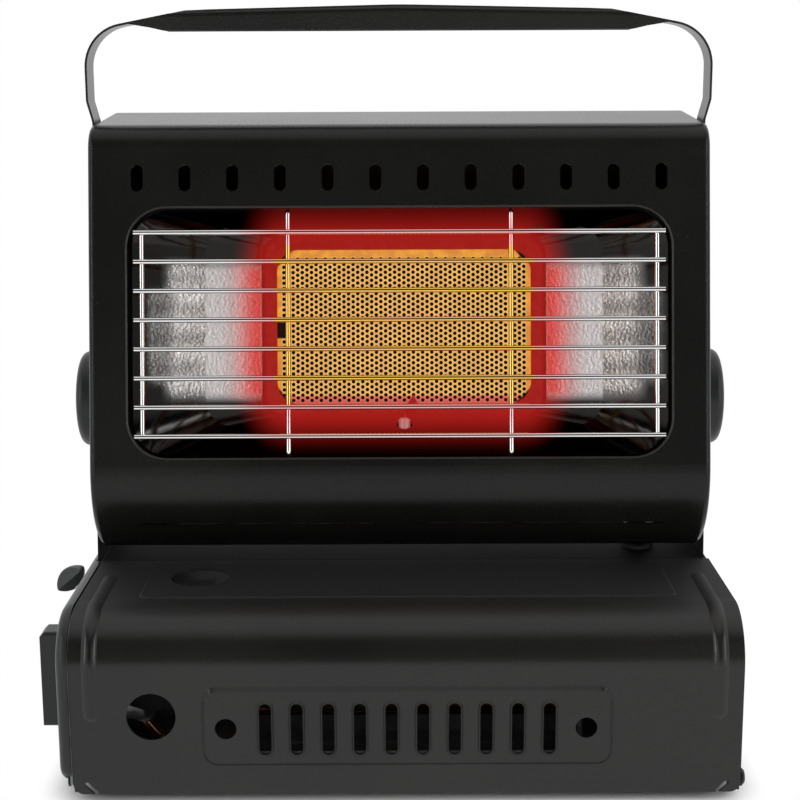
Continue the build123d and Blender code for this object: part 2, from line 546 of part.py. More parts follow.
# ---------------------------------------------------------------- control knob and lever
def control_knob():
    """Moulded knob: a thin disc with a raised bar grip across it."""
    x0 = PANEL_X - KNOB_CLEAR
    outer, half, low, high = x0 - BAR_OUT, BAR_W / 2, CAN_UP - BAR_L / 2, CAN_UP + BAR_L / 2
    disc = rod_x(DISC_R, x0 - DISC_T, x0, CAN_Y, CAN_UP)
    bar = block(outer, x0, CAN_Y - half, CAN_Y + half, low, high)
    top_end = bar.faces().sort_by(Axis.X)[0].edges().filter_by(Axis.Y).sort_by(Axis.Z)[-1]
    bar = chamfer(top_end, 2.0)
    bar = fillet(bar.edges().filter_by(Axis.X), 1.5)
    return disc + bar - rod_x(SPINDLE_R + FIT, x0 - SPINDLE_IN, x0 + 1, CAN_Y, CAN_UP)


def valve_spindle():
    return rod_x(SPINDLE_R, PANEL_X - KNOB_CLEAR - SPINDLE_IN, -WALL_X + 12, CAN_Y, CAN_UP)


def lever_outline():
    """The lock lever's plate, drawn in (X, Z): long arm, crank and boss."""
    arm = degrees(atan2(PADDLE_Z - LEVER_Z, PADDLE_X - LEVER_X))
    length = sqrt((PADDLE_X - LEVER_X) ** 2 + (PADDLE_Z - LEVER_Z) ** 2)
    plate = Pos(LEVER_X, LEVER_Z) * Circle(7.0)
    plate += Pos(LEVER_X, LEVER_Z) * Rot(0, 0, arm) * Pos(length / 2, 0) * Rectangle(length, 7.0)
    plate += Pos(LEVER_X, LEVER_Z + LEVER_CRANK / 2) * Rectangle(7.0, LEVER_CRANK)
    plate += Pos(LEVER_X, LEVER_Z + LEVER_CRANK) * Circle(3.5)
    return plate


def lock_lever():
    """Steel bell crank through the left side: its crank pin drives the pusher."""
    y0 = LEVER_Y - LEVER_T / 2
    lever = extrude(Plane.XZ.offset(-y0) * lever_outline(), amount=-LEVER_T)
    pin = Pos(LEVER_X, y0 - 1.4, LEVER_Z + LEVER_CRANK) * Rot(90, 0, 0) * Cylinder(2.0, 3.2)
    lever += pin
    return lever - Pos(LEVER_X, LEVER_Y, LEVER_Z) * Rot(90, 0, 0) * Cylinder(LEVER_PIN_R + FIT, 10)


def lever_paddle():
    """Moulded leaf-shaped thumb piece on the end of the lever."""
    side = (PADDLE_H**2 + PADDLE_W**2) / (4 * PADDLE_W)      # radius of each long side
    tips = ((-PADDLE_H / 2, 0), (PADDLE_H / 2, 0))
    leaf = make_face(RadiusArc(*tips, side) + RadiusArc(*reversed(tips), side))
    leaf = fillet(leaf.vertices(), 2.5)
    body = extrude(leaf, amount=PADDLE_T / 2, both=True)
    rim, edge, ridge = PADDLE_W, PADDLE_EDGE / 2, PADDLE_T / 2
    roof = Polyline((-rim, edge - ridge), (0, ridge), (rim, edge - ridge), (rim, ridge - edge), (0, -ridge),
                    (-rim, ridge - edge), close=True)
    body &= extrude(Plane.YZ * make_face(roof), amount=PADDLE_H, both=True)
    tilt = degrees(atan2(PADDLE_Z - LEVER_Z, LEVER_X - PADDLE_X))
    paddle = Pos(PADDLE_X, LEVER_Y, PADDLE_Z) * Rot(90, 0, 0) * Rot(0, 0, 60 - tilt) * body
    y0 = LEVER_Y - LEVER_T / 2
    return paddle - extrude(Plane.XZ.offset(-y0) * lever_outline(), amount=-LEVER_T)


def lever_bracket():
    """Bracket on the left side wall with the lever's pivot pin and its spring clip."""
    y0 = LEVER_Y + LEVER_T / 2 + SEAT
    plate = block(-WALL_X, LEVER_X + 9, y0, y0 + 1.5, LEVER_Z - 9, LEVER_Z + 9)
    plate += block(-WALL_X, -WALL_X + 1.5, y0, y0 + 12, LEVER_Z - 9, LEVER_Z + 9)
    tip = LEVER_Y - LEVER_T / 2 - SEAT        # the clip's face beside the lever
    pin = Plane.XZ.offset(-y0 - 3.3) * Pos(LEVER_X, LEVER_Z) * Circle(LEVER_PIN_R)
    clip = Circle(CLIP_R) - Pos(0, CLIP_R) * Rectangle(2 * SHEET, CLIP_R)
    clip = Plane.XZ.offset(-tip) * Pos(LEVER_X, LEVER_Z) * clip
    return plate + extrude(pin, amount=y0 + 4.5 - tip) + extrude(clip, amount=CLIP_T)


def canister_pusher():
    """Sliding strip behind the partition, bent at its right end into the plate behind the canister."""
    y1 = LEVER_Y - LEVER_T / 2 - SEAT
    y0 = y1 - PUSHER_T
    crank_z = LEVER_Z + LEVER_CRANK
    strip = block(LEVER_X - 8, PUSHER_X + PUSHER_T, y0, y1, crank_z - 7, crank_z + 5)
    plate = block(PUSHER_X, PUSHER_X + PUSHER_T, CAN_Y - 20, y1, CAN_UP - 20, crank_z + 5)
    pad = rod_x(16.0, PUSHER_X - 1.0, PUSHER_X + PUSHER_T, CAN_Y, CAN_UP)
    pad -= rod_x(14.5, PUSHER_X, PUSHER_X + PUSHER_T + 1, CAN_Y, CAN_UP)
    pusher = strip + plate - rod_x(14.5, PUSHER_X - 2, PUSHER_X + PUSHER_T + 1, CAN_Y, CAN_UP) + pad
    slot = Pos(LEVER_X, (y0 + y1) / 2, crank_z - 0.6) * Box(4.6, 6, 7.4)
    return pusher - slot


def slide_guides():
    """Hangers under the deck that the pusher's strip slides in."""
    y1 = LEVER_Y - LEVER_T / 2 - SEAT
    y0 = y1 - PUSHER_T
    crank_z = LEVER_Z + LEVER_CRANK
    low, high, gap = crank_z - 7, crank_z + 5, 0.4
    guides = []
    for x in (-60.0, 60.0):
        guide = block(x, x + 12, y1 + gap, y1 + gap + SHEET, low - gap - SHEET, DECK)
        guide += block(x, x + 12, y1 + gap, y1 + 8, DECK - SHEET, DECK)
        for z in (low - gap - SHEET, high + gap):
            guide += block(x, x + 12, y0 - gap, y1 + gap + SHEET, z, z + SHEET)
        guide += block(x, x + 12, y0 - gap - SHEET, y0 - gap, low - gap - SHEET, low + 2)
        guides.append(guide)
    return Compound(children=guides)


# ---------------------------------------------------------------- head
def head_outline(inset, rear, low):
    """The head seen from the side: chin arc, leaning face, top bend and top."""
    lean, slope = radians(LEAN), radians(TOP_SLOPE)
    out = (-cos(lean), sin(lean))                       # outward normal of the face in (Y, Z)
    radius = CHIN_R - inset
    chin = (CHIN_Y + radius * out[0], CHIN_Z + radius * out[1])
    lip = (CHIN_Y + radius * cos(radians(180 + CHIN_END)), CHIN_Z + radius * sin(radians(180 + CHIN_END)))
    bend = TOP_R - inset
    up = (sin(lean), cos(lean))
    # where the inset face meets the inset top
    a = (up[0], -cos(slope), up[1], -sin(slope))
    top0 = (0 + sin(slope) * inset, TOP_Z - cos(slope) * inset)
    dy, dz = top0[0] - chin[0], top0[1] - chin[1]
    det = a[0] * a[3] - a[1] * a[2]
    along = (dy * a[3] - dz * a[1]) / det
    corner = (chin[0] + along * up[0], chin[1] + along * up[1])
    turn = radians(90 - LEAN - TOP_SLOPE)
    cut = bend * tan(turn / 2)
    face_end = (corner[0] - cut * up[0], corner[1] - cut * up[1])
    top_start = (corner[0] + cut * cos(slope), corner[1] + cut * sin(slope))
    middle = (face_end[0] - bend * out[0], face_end[1] - bend * out[1])
    top_rear = (rear, top0[1] + (rear - top0[0]) * tan(slope))
    edges = CenterArc((CHIN_Y, CHIN_Z), radius, 180 - LEAN, LEAN + CHIN_END)
    edges += Line(chin, face_end)
    edges += CenterArc(middle, bend, 90 + TOP_SLOPE, 90 - LEAN - TOP_SLOPE)
    edges += Polyline(top_start, top_rear, (rear, low), lip)
    return make_face(edges)


def window(w, h, r):
    return RectangleRounded(w, h, r)


def head_shell():
    """Pressed shell of the head: face, chin, top and sides, with a rear flange."""
    outer = side_slab(head_outline(0, HEAD_REAR, BOTTOM_REAR_Z), -HEAD_HALF, HEAD_HALF)
    sides = outer.faces().sort_by(Axis.X)
    rims = [e for f in (sides[0], sides[-1]) for e in f.edges() if e.center().Y < HEAD_REAR - 1]
    shell = fillet(rims, EDGE_R)
    inner = side_slab(
        head_outline(SHEET, HEAD_REAR - SHEET, BOTTOM_REAR_Z - 6), -HEAD_HALF + SHEET, HEAD_HALF - SHEET
    )
    shell -= inner
    lowest, highest = BOTTOM_REAR_Z - 10, TOP_Z + HEAD_REAR * tan(radians(TOP_SLOPE)) - FLANGE
    shell -= block(-HEAD_HALF + FLANGE, HEAD_HALF - FLANGE, HEAD_REAR - 3, HEAD_REAR + 1, lowest, highest)
    rim = window(WINDOW_W + 2 * SHEET, WINDOW_H + 2 * SHEET, WINDOW_R + SHEET)
    shell += extrude(FACE * rim, amount=-WINDOW_LIP)
    shell -= extrude(FACE.offset(2) * window(WINDOW_W, WINDOW_H, WINDOW_R), amount=-WINDOW_LIP - 4)
    for i in range(VENT_COUNT):
        x = (i - (VENT_COUNT - 1) / 2) * VENT_PITCH
        shell -= extrude(behind_face(x, VENT_V, 3) * SlotOverall(VENT_H, VENT_W, rotation=90), amount=6)
    for angle in SLIT_ANGLES:
        for side in (-1, 1):
            length = SLIT_X1 - SLIT_X0
            slit = Pos(side * (SLIT_X0 + SLIT_X1) / 2, 0, 0) * Box(length, 12, SLIT_H)
            shell -= Pos(0, CHIN_Y, CHIN_Z) * Rot(angle, 0, 0) * Pos(0, -CHIN_R, 0) * slit
    for side in (-1, 1):
        through = (side * (HEAD_HALF - 3), side * (HEAD_HALF + 1))
        shell -= rod_x(STUD_R + FIT, *through, PIVOT_Y, PIVOT_Z)
        shell -= rod_x(RIVET_SHANK_R + FIT, *through, HANDLE_Y, HANDLE_Z)
    for x, z in back_screw_places():
        shell -= Pos(x, HEAD_REAR, z) * Rot(90, 0, 0) * Cylinder(1.5, 6)
    return shell


def back_screw_places():
    high, low = TOP_Z - 0.5, BOTTOM_REAR_Z + 8
    side = HEAD_HALF - 4
    return [(-side, 200.0), (side, 200.0), (-side, low + 4), (side, low + 4), (-60.0, high), (60.0, high)]


def head_back():
    """Back panel of the head, with rows of louvres."""
    high = TOP_Z + HEAD_REAR * tan(radians(TOP_SLOPE)) - 0.5
    low = BOTTOM_REAR_Z
    sketch = Pos(0, (low + high) / 2) * RectangleRounded(HEAD_W - 1, high - low, 4)
    back = extrude(Plane.XZ.offset(-HEAD_REAR) * sketch, amount=-SHEET)
    for z in (high - 46, high - 58, low + 24, low + 36):
        for i in range(LOUVRE_COUNT):
            x = (i - (LOUVRE_COUNT - 1) / 2) * LOUVRE_PITCH
            slot = Plane.XZ.offset(-HEAD_REAR + 2) * Pos(x, z) * SlotOverall(LOUVRE_W, LOUVRE_H)
            back -= extrude(slot, amount=-6)
    for x, z in back_screw_places():
        back -= Pos(x, HEAD_REAR, z) * Rot(90, 0, 0) * Cylinder(1.5, 6)
    return back


def back_screws():
    screws = []
    for x, z in back_screw_places():
        screw = Pos(x, HEAD_REAR - 1.5, z) * Rot(90, 0, 0) * Cylinder(1.45, 7)
        cap = Pos(x, HEAD_REAR + SHEET + 0.9, z) * Rot(90, 0, 0) * Cylinder(2.9, 1.8)
        cap = chamfer(cap.faces().sort_by(Axis.Y)[-1].edges(), 0.9)
        screws.append(screw + cap)
    return Compound(children=screws)


def head_bottom():
    """Plate that closes the head from the chin to the back, slotted for the gas pipe."""
    y0, y1 = CHIN_Y - 4, HEAD_REAR - SHEET - SEAT
    z0 = CHIN_Z - CHIN_R + SHEET + 1.5
    z1 = BOTTOM_REAR_Z + 2
    outline = make_face(Polyline((y0, z0), (y1, z1), (y1, z1 + SHEET), (y0, z0 + SHEET), close=True))
    half = HEAD_HALF - SHEET - SEAT
    plate = side_slab(outline, -half, half)
    plate -= block(FLEX_X - 7, FLEX_X + 7, FLEX_Y - 12, FLEX_Y + 32, z0 - 5, z1 + 5)
    for x in range(-90, 91, 45):
        plate -= block(x - 15, x + 15, PIVOT_Y - 3, PIVOT_Y + 3, z0 - 5, z1 + 5)
    return plate


def dish(grow, deeper):
    """The reflector's dish as a solid, grown outwards by grow and carried on past its floor by deeper."""
    rims = []
    for i, (depth, w, h, r) in enumerate(REFLECTOR_STEPS):
        centre = FACE if i == 0 else BURNER
        rims.append(centre * Pos(0, 0, -depth) * window(w + 2 * grow, h + 2 * grow, r + grow))
    floor = extrude(rims[-1], amount=-deeper)
    return loft(rims[:2], ruled=True) + loft(rims[1:], ruled=True) + floor


def reflector():
    """Polished dish from the window's edge to the burner, folded once on each side."""
    rim, floor = REFLECTOR_STEPS[0][0], REFLECTOR_STEPS[-1][0]
    flange = window(WINDOW_W + 12, WINDOW_H + 8, WINDOW_R + 3)
    pan = extrude(FACE * Pos(0, 0, -rim) * flange, amount=-REFLECTOR_T)
    pan += dish(REFLECTOR_T, REFLECTOR_T)
    pan -= dish(0, 0.01)
    pan -= extrude(BURNER * Pos(0, 0, -floor + 2) * window(PLAQUE_W - 2, PLAQUE_H - 2, 8), amount=-4)
    return pan - electrode_place() * Cylinder(INSULATOR_R + 1, 14)


def plaque_frame():
    """Steel frame that holds the plaque's edge, with the earth tab of the spark gap."""
    place = BURNER * Pos(0, 0, -REFLECTOR_STEPS[-1][0])
    low = -FRAME_WINDOW_H / 2
    tab = Polyline((1.5, low - 1), (6.1, low - 1), (6.1, low), (4.2, low + 4.2), (1.5, low), close=True)
    plate = extrude(place * window(PLAQUE_W + 6, PLAQUE_H + 4.5, 8), amount=SHEET)
    plate -= extrude(place * window(FRAME_WINDOW_W, FRAME_WINDOW_H, FRAME_WINDOW_R), amount=SHEET)
    return plate + extrude(place * make_face(tab), amount=SHEET)


def ceramic_plaque():
    return extrude(BURNER * Pos(0, 0, -PLAQUE_DEPTH) * window(PLAQUE_W, PLAQUE_H, 3), amount=-PLAQUE_T)


def plaque_gasket():
    """Ceramic-fibre strip round the plaque."""
    place = BURNER * Pos(0, 0, -PLAQUE_DEPTH - 1)
    ring = window(PLAQUE_W + 2 * GASKET_T, PLAQUE_H + 2 * GASKET_T, 4)
    hole = window(PLAQUE_W + 0.4, PLAQUE_H + 0.4, 3)
    return extrude(place * ring, amount=1 - PLAQUE_T) - extrude(place * hole, amount=1 - PLAQUE_T)


def burner_box():
    """Mixing box behind the plaque, with a flange against the reflector."""
    place = BURNER * Pos(0, 0, -REFLECTOR_STEPS[-1][0] - REFLECTOR_T)
    w, h = BOX_W - 2 * SHEET, PLAQUE_H + 2 * GASKET_T + 0.4
    box = extrude(place * window(w + 14, h + 10, 6), amount=-SHEET)
    box += extrude(place * window(BOX_W, h + 2 * SHEET, 5), amount=-BOX_DEPTH)
    box -= extrude(place * window(w, h, 4), amount=SHEET - BOX_DEPTH)
    return box - BURNER * Pos(w / 2, 0, -VENTURI_DEPTH) * Rot(0, 90, 0) * Cylinder(VENTURI_R + FIT, 12)


def venturi_tube():
    """Mixing tube into the box, necked and belled at its mouth."""
    neck = VENTURI_R - 2
    outer = [(VENTURI_X0, VENTURI_R), (VENTURI_X1 - 24, VENTURI_R), (VENTURI_X1 - 16, neck),
             (VENTURI_X1 - 8, neck), (VENTURI_X1, VENTURI_R + 2)]
    inner = [(x, r - SHEET) for x, r in outer]
    section = make_face(Polyline(*outer, *reversed(inner), close=True))
    return BURNER * Pos(0, 0, -VENTURI_DEPTH) * revolve(section, Axis.X)


def injector_bracket():
    """Strap from the box to the injector in front of the venturi's mouth."""
    x0, x1, z = BOX_W / 2 - 12, INJECTOR_X - BURNER_X + 1, 8.0
    strap = block(x0, x1, -z, z, -BOX_BACK - SHEET, -BOX_BACK)
    ear = block(x1 - 1.6, x1, -z, z, -BOX_BACK, 6 - VENTURI_DEPTH)
    hole = Pos(x1, 0, -VENTURI_DEPTH) * Rot(0, 90, 0) * Cylinder(INJECTOR_R + FIT, 8)
    return BURNER * (strap + ear - hole)


def gas_injector():
    """Brass injector with its elbow and the inlet pipe down to the flexible pipe."""
    y, z = INJECTOR_Y, INJECTOR_Z
    injector = rod_x(INJECTOR_R, INJECTOR_X - 5, FLEX_X, y, z)
    injector += side_slab(Pos(y, z) * RegularPolygon(5.5, 6), INJECTOR_X + 1.1, INJECTOR_X + 4.5)
    injector += Pos(FLEX_X, y, z) * Sphere(4.6)
    injector += Pos(FLEX_X, y, (z + INLET_Z) / 2) * Cylinder(INJECTOR_R, z - INLET_Z)
    injector += Pos(FLEX_X, y, INLET_Z + 4) * extrude(RegularPolygon(5.6, 6), amount=7)
    return injector - rod_x(0.5, INJECTOR_X - 6, FLEX_X, y, z)


def electrode_place():
    """Middle of the insulator, with its axis up the face."""
    return BURNER * Pos(0, -49.5, -ELECTRODE_DEPTH) * Rot(-90, 0, 0)


def electrode_insulator():
    """Glazed ceramic tube that carries the spark rod up through the reflector."""
    tube = Cylinder(INSULATOR_R, 16)
    tube = chamfer(tube.faces().sort_by(Axis.Z)[-1].edges(), 1.0)
    return electrode_place() * (tube - Cylinder(ROD_R + FIT, 20))


def spark_electrode():
    """Rod through the insulator, bent over towards the earth tab."""
    path = FilletPolyline((0, 0, -12), (0, 0, 9.5), (1.6, 3.0, 13.0), radius=2.0)
    return electrode_place() * sweep(Plane(path ^ 0) * Circle(ROD_R), path=path)


def electrode_clip():
    """Bent tab from the burner box's flange that grips the insulator below the reflector."""
    depth = REFLECTOR_STEPS[-1][0] + REFLECTOR_T + SHEET
    clip = block(-4.5, 4.5, -54.5, -49.5, -depth - SHEET, 3.5 - ELECTRODE_DEPTH)
    clip += block(-4.5, 4.5, -54.5, -41, -depth - SHEET, -depth)
    return BURNER * clip - electrode_place() * Cylinder(INSULATOR_R + FIT, 30)


def wire_guard():
    """Welded guard: eight rods across, two end rods and two long rods hooked into the window."""
    across = 2 * WIRE_R - 0.3
    guard = None
    for i in range(WIRE_COUNT):
        v = WIRE_TOP_V - i * WIRE_PITCH
        rod = behind_face(0, v, 0) * Rot(0, 90, 0) * Cylinder(WIRE_R, WIRE_L)
        guard = rod if guard is None else guard + rod
    span = (WIRE_COUNT - 1) * WIRE_PITCH
    middle = WIRE_TOP_V - span / 2
    for x in (-END_WIRE_X, END_WIRE_X):
        guard += behind_face(x, middle, across) * Rot(90, 0, 0) * Cylinder(WIRE_R, span + 2 * WIRE_R)
    for x in (-LONG_WIRE_X, LONG_WIRE_X):
        hook = FilletPolyline(
            (x, -LONG_WIRE_V, -WINDOW_LIP), (x, -LONG_WIRE_V, -across), (x, LONG_WIRE_V, -across),
            (x, LONG_WIRE_V, -WINDOW_LIP), radius=1.6,
        )
        wire = sweep(Plane(hook ^ 0) * Circle(WIRE_R), path=hook)
        guard += FACE * wire
    return guard


def pivot_nuts():
    """Hexagon nuts welded inside the head's sides for the tilt studs."""
    nuts = []
    for side in (-1, 1):
        x0 = side * (HEAD_HALF - SHEET - 5) if side > 0 else -(HEAD_HALF - SHEET)
        nut = side_slab(Pos(PIVOT_Y, PIVOT_Z) * RegularPolygon(6.5, 6), x0, x0 + 5)
        nuts.append(nut - rod_x(STUD_R + FIT, x0 - 1, x0 + 6, PIVOT_Y, PIVOT_Z))
    return Compound(children=nuts)


def pivot_washers():
    """Fibre washers between the head and the arms."""
    washers = []
    for side in (-1, 1):
        x0, x1 = sorted((side * HEAD_HALF, side * (ARM_X - 0.2)))
        washer = rod_x(WASHER_R, x0, x1, PIVOT_Y, PIVOT_Z)
        washers.append(washer - rod_x(STUD_R + FIT, x0 - 1, x1 + 1, PIVOT_Y, PIVOT_Z))
    return Compound(children=washers)


def tilt_knob(side):
    """Round clamping knob with its moulded-in stud through the arm and into the head's nut."""
    x_in = ARM_OUT + SEAT
    disc = lathe_x([(x_in, KNOB_R - 3), (x_in + 1.5, KNOB_R), (x_in + KNOB_T, KNOB_R)], PIVOT_Y, PIVOT_Z)
    disc = fillet(disc.faces().sort_by(Axis.X)[-1].edges(), 3.5)
    disc -= rod_x(KNOB_R - 7, x_in + KNOB_T - 1.2, x_in + KNOB_T + 1, PIVOT_Y, PIVOT_Z)
    disc += rod_x(STUD_R, HEAD_HALF - SHEET - 5.5, x_in + 3, PIVOT_Y, PIVOT_Z)
    return disc if side > 0 else mirror(disc, about=Plane.YZ)


# ---------------------------------------------------------------- handle
def carry_handle():
    """Bail bent from one strap, pressed into a channel along the grip."""
    foot, out = HEAD_HALF + SEAT + STRAP_T / 2, STRAP_OUT - STRAP_T / 2
    half = [
        (foot, HANDLE_Z), (foot, HANDLE_Z + 17), (out, HANDLE_Z + 26), (out, SHOULDER_Z),
        (SHOULDER_X, GRIP_TOP - 2.6), (0, GRIP_TOP - STRAP_T / 2),
    ]
    radii = [6.0, 6.0, BAIL_R, 120.0]
    points = half + [(-x, z) for x, z in reversed(half[:-1])]
    path = FilletPolyline(*[(x, 0, z) for x, z in points], radius=radii + [400.0] + radii[::-1])
    start = Plane(origin=path @ 0, z_dir=path % 0, x_dir=(1, 0, 0))
    strap = sweep(start * Rectangle(STRAP_T, STRAP_W), path=path)
    bail = Pos(0, HANDLE_Y, 0) * strap
    for side in (-1, 1):
        x0, x1 = sorted((side * (HEAD_HALF + SEAT), side * (HEAD_HALF + SEAT + STRAP_T)))
        bail += rod_x(STRAP_W / 2, x0, x1, HANDLE_Y, HANDLE_Z)
        bail -= rod_x(RIVET_SHANK_R + FIT, x0 - 1, x1 + 1, HANDLE_Y, HANDLE_Z)
    low = GRIP_TOP - GRIP_H
    rise = (GRIP_TOP - 2.6 - SHOULDER_Z) / (out - SHOULDER_X)
    shoulder = (GRIP_END, SHOULDER_Z + rise * (out - GRIP_END))
    profile = [(0, GRIP_TOP), (SHOULDER_X, GRIP_TOP - 2.1), shoulder, (112, low + 1.8), (104, low), (0, low)]
    outline = profile + [(-x, z) for x, z in reversed(profile[1:-1])]
    hollow = [(x * 0.985, z - STRAP_T) if z > low + 1.9 else (x * 0.985, low - 1) for x, z in outline]
    outline, hollow = [Plane.XZ * make_face(Polyline(*p, close=True)) for p in (outline, hollow)]
    body = extrude(outline, amount=GRIP_W / 2, both=True)
    core = extrude(hollow, amount=GRIP_W / 2 - STRAP_T, both=True)
    sides = body.edges().filter_by(lambda e: abs(abs(e.center().Y) - GRIP_W / 2) < 0.01)
    body = fillet([e for e in sides if e.center().Z > GRIP_TOP - 4], 3.0)
    return bail + Pos(0, HANDLE_Y, 0) * (body - core)


def handle_rivets():
    """Rivets through the head's sides that the handle swings on."""
    rivets = []
    for side in (-1, 1):
        face = side * (HEAD_HALF + 2 * SEAT + STRAP_T)
        rivet = rod_x(RIVET_SHANK_R, side * (HEAD_HALF - SHEET - 1), face + side * 0.5, HANDLE_Y, HANDLE_Z)
        head = rod_x(3.4, face, face + side * 1.2, HANDLE_Y, HANDLE_Z)
        head = chamfer(head.faces().sort_by(Axis.X)[-1 if side > 0 else 0].edges(), 0.7)
        tail = rod_x(2.6, side * (HEAD_HALF - SHEET - 1), side * (HEAD_HALF - SHEET), HANDLE_Y, HANDLE_Z)
        rivets.append(rivet + head + tail)
    return Compound(children=rivets)


# ---------------------------------------------------------------- write every node
for node, make in {
    "base_tray": base_tray,
    "rear_deck": rear_deck,
    "deck_grommet": deck_grommet,
    "left_end_panel": left_end_panel,
    "panel_screws": panel_screws,
    "arm_rivets": arm_rivets,
    "partition": partition,
    "canister_cradle": canister_cradle,
    "gas_regulator": gas_regulator,
    "socket_seal": socket_seal,
    "valve_bracket": valve_bracket,
    "piezo_igniter": piezo_igniter,
    "gas_pipe": gas_pipe,
    "flexible_pipe": flexible_pipe,
    "rubber_feet": rubber_feet,
    "canister_cover": canister_cover,
    "hinge_rivets": hinge_rivets,
    "control_knob": control_knob,
    "valve_spindle": valve_spindle,
    "lock_lever": lock_lever,
    "lever_paddle": lever_paddle,
    "lever_bracket": lever_bracket,
    "canister_pusher": canister_pusher,
    "slide_guides": slide_guides,
    "head_shell": head_shell,
    "head_back": head_back,
    "back_screws": back_screws,
    "head_bottom": head_bottom,
    "reflector": reflector,
    "plaque_frame": plaque_frame,
    "ceramic_plaque": ceramic_plaque,
    "plaque_gasket": plaque_gasket,
    "burner_box": burner_box,
    "venturi_tube": venturi_tube,
    "injector_bracket": injector_bracket,
    "gas_injector": gas_injector,
    "electrode_insulator": electrode_insulator,
    "spark_electrode": spark_electrode,
    "electrode_clip": electrode_clip,
    "wire_guard": wire_guard,
    "pivot_nuts": pivot_nuts,
    "pivot_washers": pivot_washers,
    "carry_handle": carry_handle,
    "handle_rivets": handle_rivets,
}.items():
    write(node, make())

for name, side in (("left", -1), ("right", 1)):
    write(f"{name}_arm", support_arm(side))
    write(f"{name}_tilt_knob", tilt_knob(side))
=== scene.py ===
import bpy
import bmesh
import json
from math import cos, pi, radians, sin, sqrt
from mathutils import Matrix, Vector

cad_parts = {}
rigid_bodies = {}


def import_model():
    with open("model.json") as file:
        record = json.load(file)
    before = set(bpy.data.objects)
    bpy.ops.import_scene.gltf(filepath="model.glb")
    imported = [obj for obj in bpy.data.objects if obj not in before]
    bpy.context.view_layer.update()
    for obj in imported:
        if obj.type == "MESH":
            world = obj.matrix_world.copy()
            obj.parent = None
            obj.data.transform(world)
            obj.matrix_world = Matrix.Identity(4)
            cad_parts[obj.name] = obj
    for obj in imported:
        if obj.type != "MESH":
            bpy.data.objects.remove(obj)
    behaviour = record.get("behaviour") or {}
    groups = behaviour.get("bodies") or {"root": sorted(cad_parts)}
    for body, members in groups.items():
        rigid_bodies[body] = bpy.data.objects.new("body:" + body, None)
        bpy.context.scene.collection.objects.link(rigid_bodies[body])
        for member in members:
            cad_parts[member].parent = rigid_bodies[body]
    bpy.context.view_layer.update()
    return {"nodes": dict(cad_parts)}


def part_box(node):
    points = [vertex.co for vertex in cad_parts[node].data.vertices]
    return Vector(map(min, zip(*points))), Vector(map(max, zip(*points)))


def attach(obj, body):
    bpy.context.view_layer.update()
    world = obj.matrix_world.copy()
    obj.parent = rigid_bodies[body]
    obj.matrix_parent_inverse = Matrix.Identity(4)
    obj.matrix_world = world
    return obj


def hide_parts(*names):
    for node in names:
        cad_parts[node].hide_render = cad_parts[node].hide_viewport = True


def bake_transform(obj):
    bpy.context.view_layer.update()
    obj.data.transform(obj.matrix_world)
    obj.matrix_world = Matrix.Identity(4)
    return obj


# A portable propane heater: a pressed-steel base for one gas canister, and a radiant burner head
# that tilts between two arms, with a folding handle. Lengths are metres, +Z up, front towards -Y.
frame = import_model()
MM = 0.001


# ---- the studio -----------------------------------------------------------------------------------
# A white sweep under soft boxes. The heater stands on it, and the camera looks down on it a little from
# straight in front. Gloss mirrors a room of its own: dark ahead, with pale walls and bright strips.
EYE = Vector((0, -0.712, 0.298))
EYE_PITCH, EYE_ROLL = 11.5, 0.24          # degrees
LENS, SENSOR, NEAREST, FARTHEST = 71.4, 36, 0.02, 50

camera = bpy.data.objects.new("camera", bpy.data.cameras.new("camera"))
camera.data.lens, camera.data.sensor_width = LENS, SENSOR
camera.location = EYE
camera.rotation_mode = "ZYX"
camera.rotation_euler = (radians(90 - EYE_PITCH), 0, radians(-EYE_ROLL))
camera.data.clip_start, camera.data.clip_end = NEAREST, FARTHEST
bpy.context.scene.collection.objects.link(camera)
bpy.context.scene.camera = camera
bpy.context.scene.view_settings.view_transform = "Standard"


class Value:
    """One output in a node tree. Sums and products of values add their Math nodes."""

    def __init__(self, owner, socket):
        self.owner, self.socket = owner, socket

    def join(self, operation, first, second=0.0):
        return self.owner.node("ShaderNodeMath", {"operation": operation}, {0: first, 1: second})

    def __add__(self, other):
        return self.join("ADD", self, other)

    def __sub__(self, other):
        return self.join("SUBTRACT", self, other)

    def __rsub__(self, other):
        return self.join("SUBTRACT", other, self)

    def __mul__(self, other):
        return self.join("MULTIPLY", self, other)

    def __truediv__(self, other):
        return self.join("DIVIDE", self, other)

    def __pow__(self, other):
        return self.join("POWER", self, other)

    def __abs__(self):
        return self.join("ABSOLUTE", self)

    __radd__, __rmul__ = __add__, __mul__

    def least(self, other):
        return self.join("MINIMUM", self, other)

    def most(self, other):
        return self.join("MAXIMUM", self, other)

    def root(self):
        return self.join("SQRT", self)

    def sine(self):
        return self.join("SINE", self)

    def part(self, name):
        """Another output of the same node."""
        return Value(self.owner, self.socket.node.outputs[name])

    def step(self, low, high):
        """0 below low, 1 above high, and smooth between them."""
        low, high, falls = (low, high, False) if low < high else (high, low, True)
        risen = self.owner.node(
            "ShaderNodeMapRange", {"interpolation_type": "SMOOTHSTEP"},
            {"Value": self, "From Min": low, "From Max": high, "To Min": 0.0, "To Max": 1.0})
        return 1 - risen if falls else risen


class Tree:
    """A node tree in the making."""

    def node(self, kind, settings=None, sockets=None):
        """Adds a node: its settings first, then the value or link of each socket."""
        made = self.tree.nodes.new(kind)
        for name, value in (settings or {}).items():
            setattr(made, name, value)
        for name, value in (sockets or {}).items():
            if isinstance(value, Value):
                self.tree.links.new(value.socket, made.inputs[name])
            else:
                made.inputs[name].default_value = value
        return Value(self, made.outputs[0])


